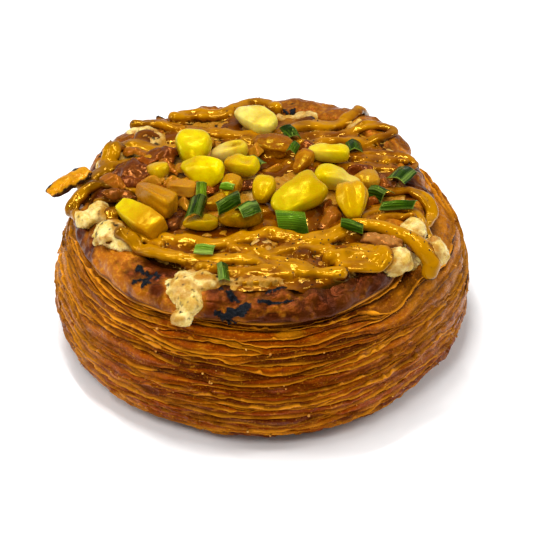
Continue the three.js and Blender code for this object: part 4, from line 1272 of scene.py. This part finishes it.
# shreds that lie between the kernels: x, y, z, length, width, yaw, pitch
SHREDS = [
    (-26.8, 7.0, 39.9, 7.5, 3.2, 30, 8),
    (-21.0, 6.2, 40.2, 6.0, 2.4, -40, 4),
    (-28.6, -1.0, 40.3, 6.8, 3.0, -30, 0),
    (-19.6, -1.2, 40.4, 6.4, 2.6, 12, 10),
    (-17.0, -8.4, 39.9, 5.4, 2.2, -62, 0),
    (-9.4, -1.6, 40.0, 4.6, 2.4, 50, 0),
    (-29.0, 12.6, 39.4, 6.2, 2.8, -18, 6),
    (10.8, 15.6, 39.0, 6.4, 3.4, -24, 12),
    (3.4, 5.6, 39.4, 5.2, 2.0, 20, 0),
    (12.2, -4.0, 39.4, 4.8, 2.4, 74, 0),
    (14.6, -8.6, 39.2, 5.6, 2.4, 82, 8),
    (-1.6, -10.6, 39.6, 5.0, 2.2, 30, 0),
    (-20.4, 10.2, 40.6, 5.6, 3.4, 50, 14),
    (-17.4, 4.2, 41.0, 5.2, 2.6, -24, 8),
    (-24.8, -1.6, 41.0, 6.0, 2.8, 22, 12),
    (-13.6, -4.6, 41.2, 6.4, 3.6, -6, 6),
    (-32.6, 0.4, 39.6, 6.6, 3.4, -38, 0),
    (22.0, 5.2, 39.4, 6.2, 3.2, 8, 6),
    (-1.0, 12.6, 40.2, 5.4, 3.2, 36, 10),
    (4.4, 16.8, 39.8, 5.0, 3.0, -52, 16),
    (24.4, -6.8, 39.2, 5.4, 2.6, 30, 0),
]
SHRED_COLOURS = ("#7C3A06", "#94560A", "#5A2408", "#A8700E", "#B07A14")
shreds, shred_faces, shades, count = [], [], [], 0
for i, (x, y, z, length, width, yaw, pitch) in enumerate(SHREDS):
    points, faces, _ = strip(length, width, 0.7, 0.9, 0.5, seed=130 + i, crumple=0.6)
    shred_faces += [[v + count for v in face] for face in faces]
    count += len(points)
    shreds.append(moved(points, (x, y, z), yaw, pitch, 14 * (i % 3 - 1)))
    shades.append(np.tile(paint(SHRED_COLOURS[i % len(SHRED_COLOURS)]), (len(points), 1)))
onion("onion_shreds", np.concatenate(shreds), shred_faces, np.concatenate(shades))

points, faces, place = strip(10.8, 4.6, 1.3, 0.6, 0.5, seed=30, crumple=0.25)
char = smooth(np.abs(2 * place["b"]) + 0.25 * noise(points, 1.4, 84, 2), 0.68, 0.85)
placed = centred(moved(points, (0, 0, 0), 38, 12, 10), "charred_slice")
onion("charred_onion_slice", placed, faces, paint("#CC8C08"), char=char, nodes=["charred_slice"])

VEIN_GAP = 0.42
for i, (length, width, curl, slant, *turn, colour) in enumerate(CHIVES):
    fold = {"crumple": 0.08, "crease": (0.5, 0.9, 0.7)[i % 3] * min(1, width / 4)}
    points, faces, place = strip(length, width, 0.5, curl + 0.25, 0.2, 0.0, slant, 50 + i, size=0.16, **fold)
    across = place["b"] * width
    vein = 0.5 + 0.5 * np.sin(across * 2 * math.pi / VEIN_GAP + 1.5 * noise(points, 3, 85))
    vein = vein * np.clip(0.6 + 0.6 * noise(points * [0.3, 1, 1], 0.9, 86), 0, 1)
    skin = np.tile(paint(colour), (len(points), 1)) * (1 + 0.4 * noise(points, 2.5, 87))[:, None]
    # painted highlight: pale streaks along each piece, mixed in toward #ACCC5C
    stripe = smooth(noise(np.stack([0 * across + 7.0 * i, across, 0 * across], 1), 0.8, 88), 0.1, 0.5)
    light = 0.8 * stripe * min(1, 0.05 + 9 * paint(colour)[1])  # light pieces get the most painted highlight streaks
    skin = np.clip(mixed(skin, np.array(paint("#ACCC5C")), light[:, None]), 0, 1)
    rim = smooth(np.abs(2 * place["a"]), 0.93, 1.0) * 0.5
    node = f"chive_{i + 1:02d}"
    placed = centred(moved(points, (0, 0, 0), *turn), node)
    painted = {"skin": skin, "vein": vein, "rim": rim}
    piece("cut_" + node, placed, faces, CHIVE_SKIN, painted, nodes=[node])

# ---------- table, light and camera ----------

TABLE_HALF, TABLE_TOP = 900.0, -0.02
m = Recipe("white_table", Roughness=0.8)
cloth = m.done(Base_Color=m.mix(m.patches(60.0, 0.3, 0.7, 0, 0.3), "#FBFBFB", "#F8F8F8"))
corners = [(x * TABLE_HALF, y * TABLE_HALF, TABLE_TOP) for x, y in ((-1, -1), (1, -1), (1, 1), (-1, 1))]
piece("table", corners, [[0, 1, 2, 3]], cloth, rides=False)

world = bpy.data.worlds.new("white_studio")
bpy.context.scene.world = world
world.use_nodes = True
world.node_tree.nodes["Background"].inputs["Color"].default_value = (1, 1, 1, 1)
world.node_tree.nodes["Background"].inputs["Strength"].default_value = 0.34
bpy.context.scene.view_settings.view_transform = "Standard"


def stand(name, data, at, way):
    """Puts a light or the camera at a place in mm, looking along a direction."""
    made = bpy.data.objects.new(name, data)
    bpy.context.scene.collection.objects.link(made)
    made.location = at * MM
    made.rotation_euler = way.to_track_quat("-Z", "Y").to_euler()
    return made


# Soft boxes of light aimed at the topping: place, width and height in mm, and watts
LIT_PLACE = Vector((0, 0, 25))
for name, at, width, height, watts in (
    ("overhead_front", (-50, -30, 500), 280, 24, 1.05),
    ("overhead_back", (-50, 80, 500), 280, 24, 1.05),
    ("key", (-80, -300, 430), 130, 130, 0.75),
    ("side_left", (-400, -40, 270), 70, 220, 0.62),
    ("side_right", (400, -20, 270), 70, 220, 0.65),
):
    light = bpy.data.lights.new(name, "AREA")
    light.shape, light.energy = "RECTANGLE", watts
    light.size, light.size_y = width * MM, height * MM
    stand(name, light, Vector(at), LIT_PLACE - Vector(at))

ELEVATION, DISTANCE, AIM = rad(37), 520.0, Vector((1.2, 0, 15.6))
IMAGE_WIDTH, FOCAL_PIXELS, SENSOR = 533, 2255, 36
camera = bpy.data.cameras.new("camera")
camera.sensor_width = SENSOR
camera.lens = FOCAL_PIXELS * SENSOR / IMAGE_WIDTH
camera.clip_end = 10
back = Vector((0, -math.cos(ELEVATION), math.sin(ELEVATION)))
bpy.context.scene.camera = stand("camera", camera, AIM + back * DISTANCE, -back)
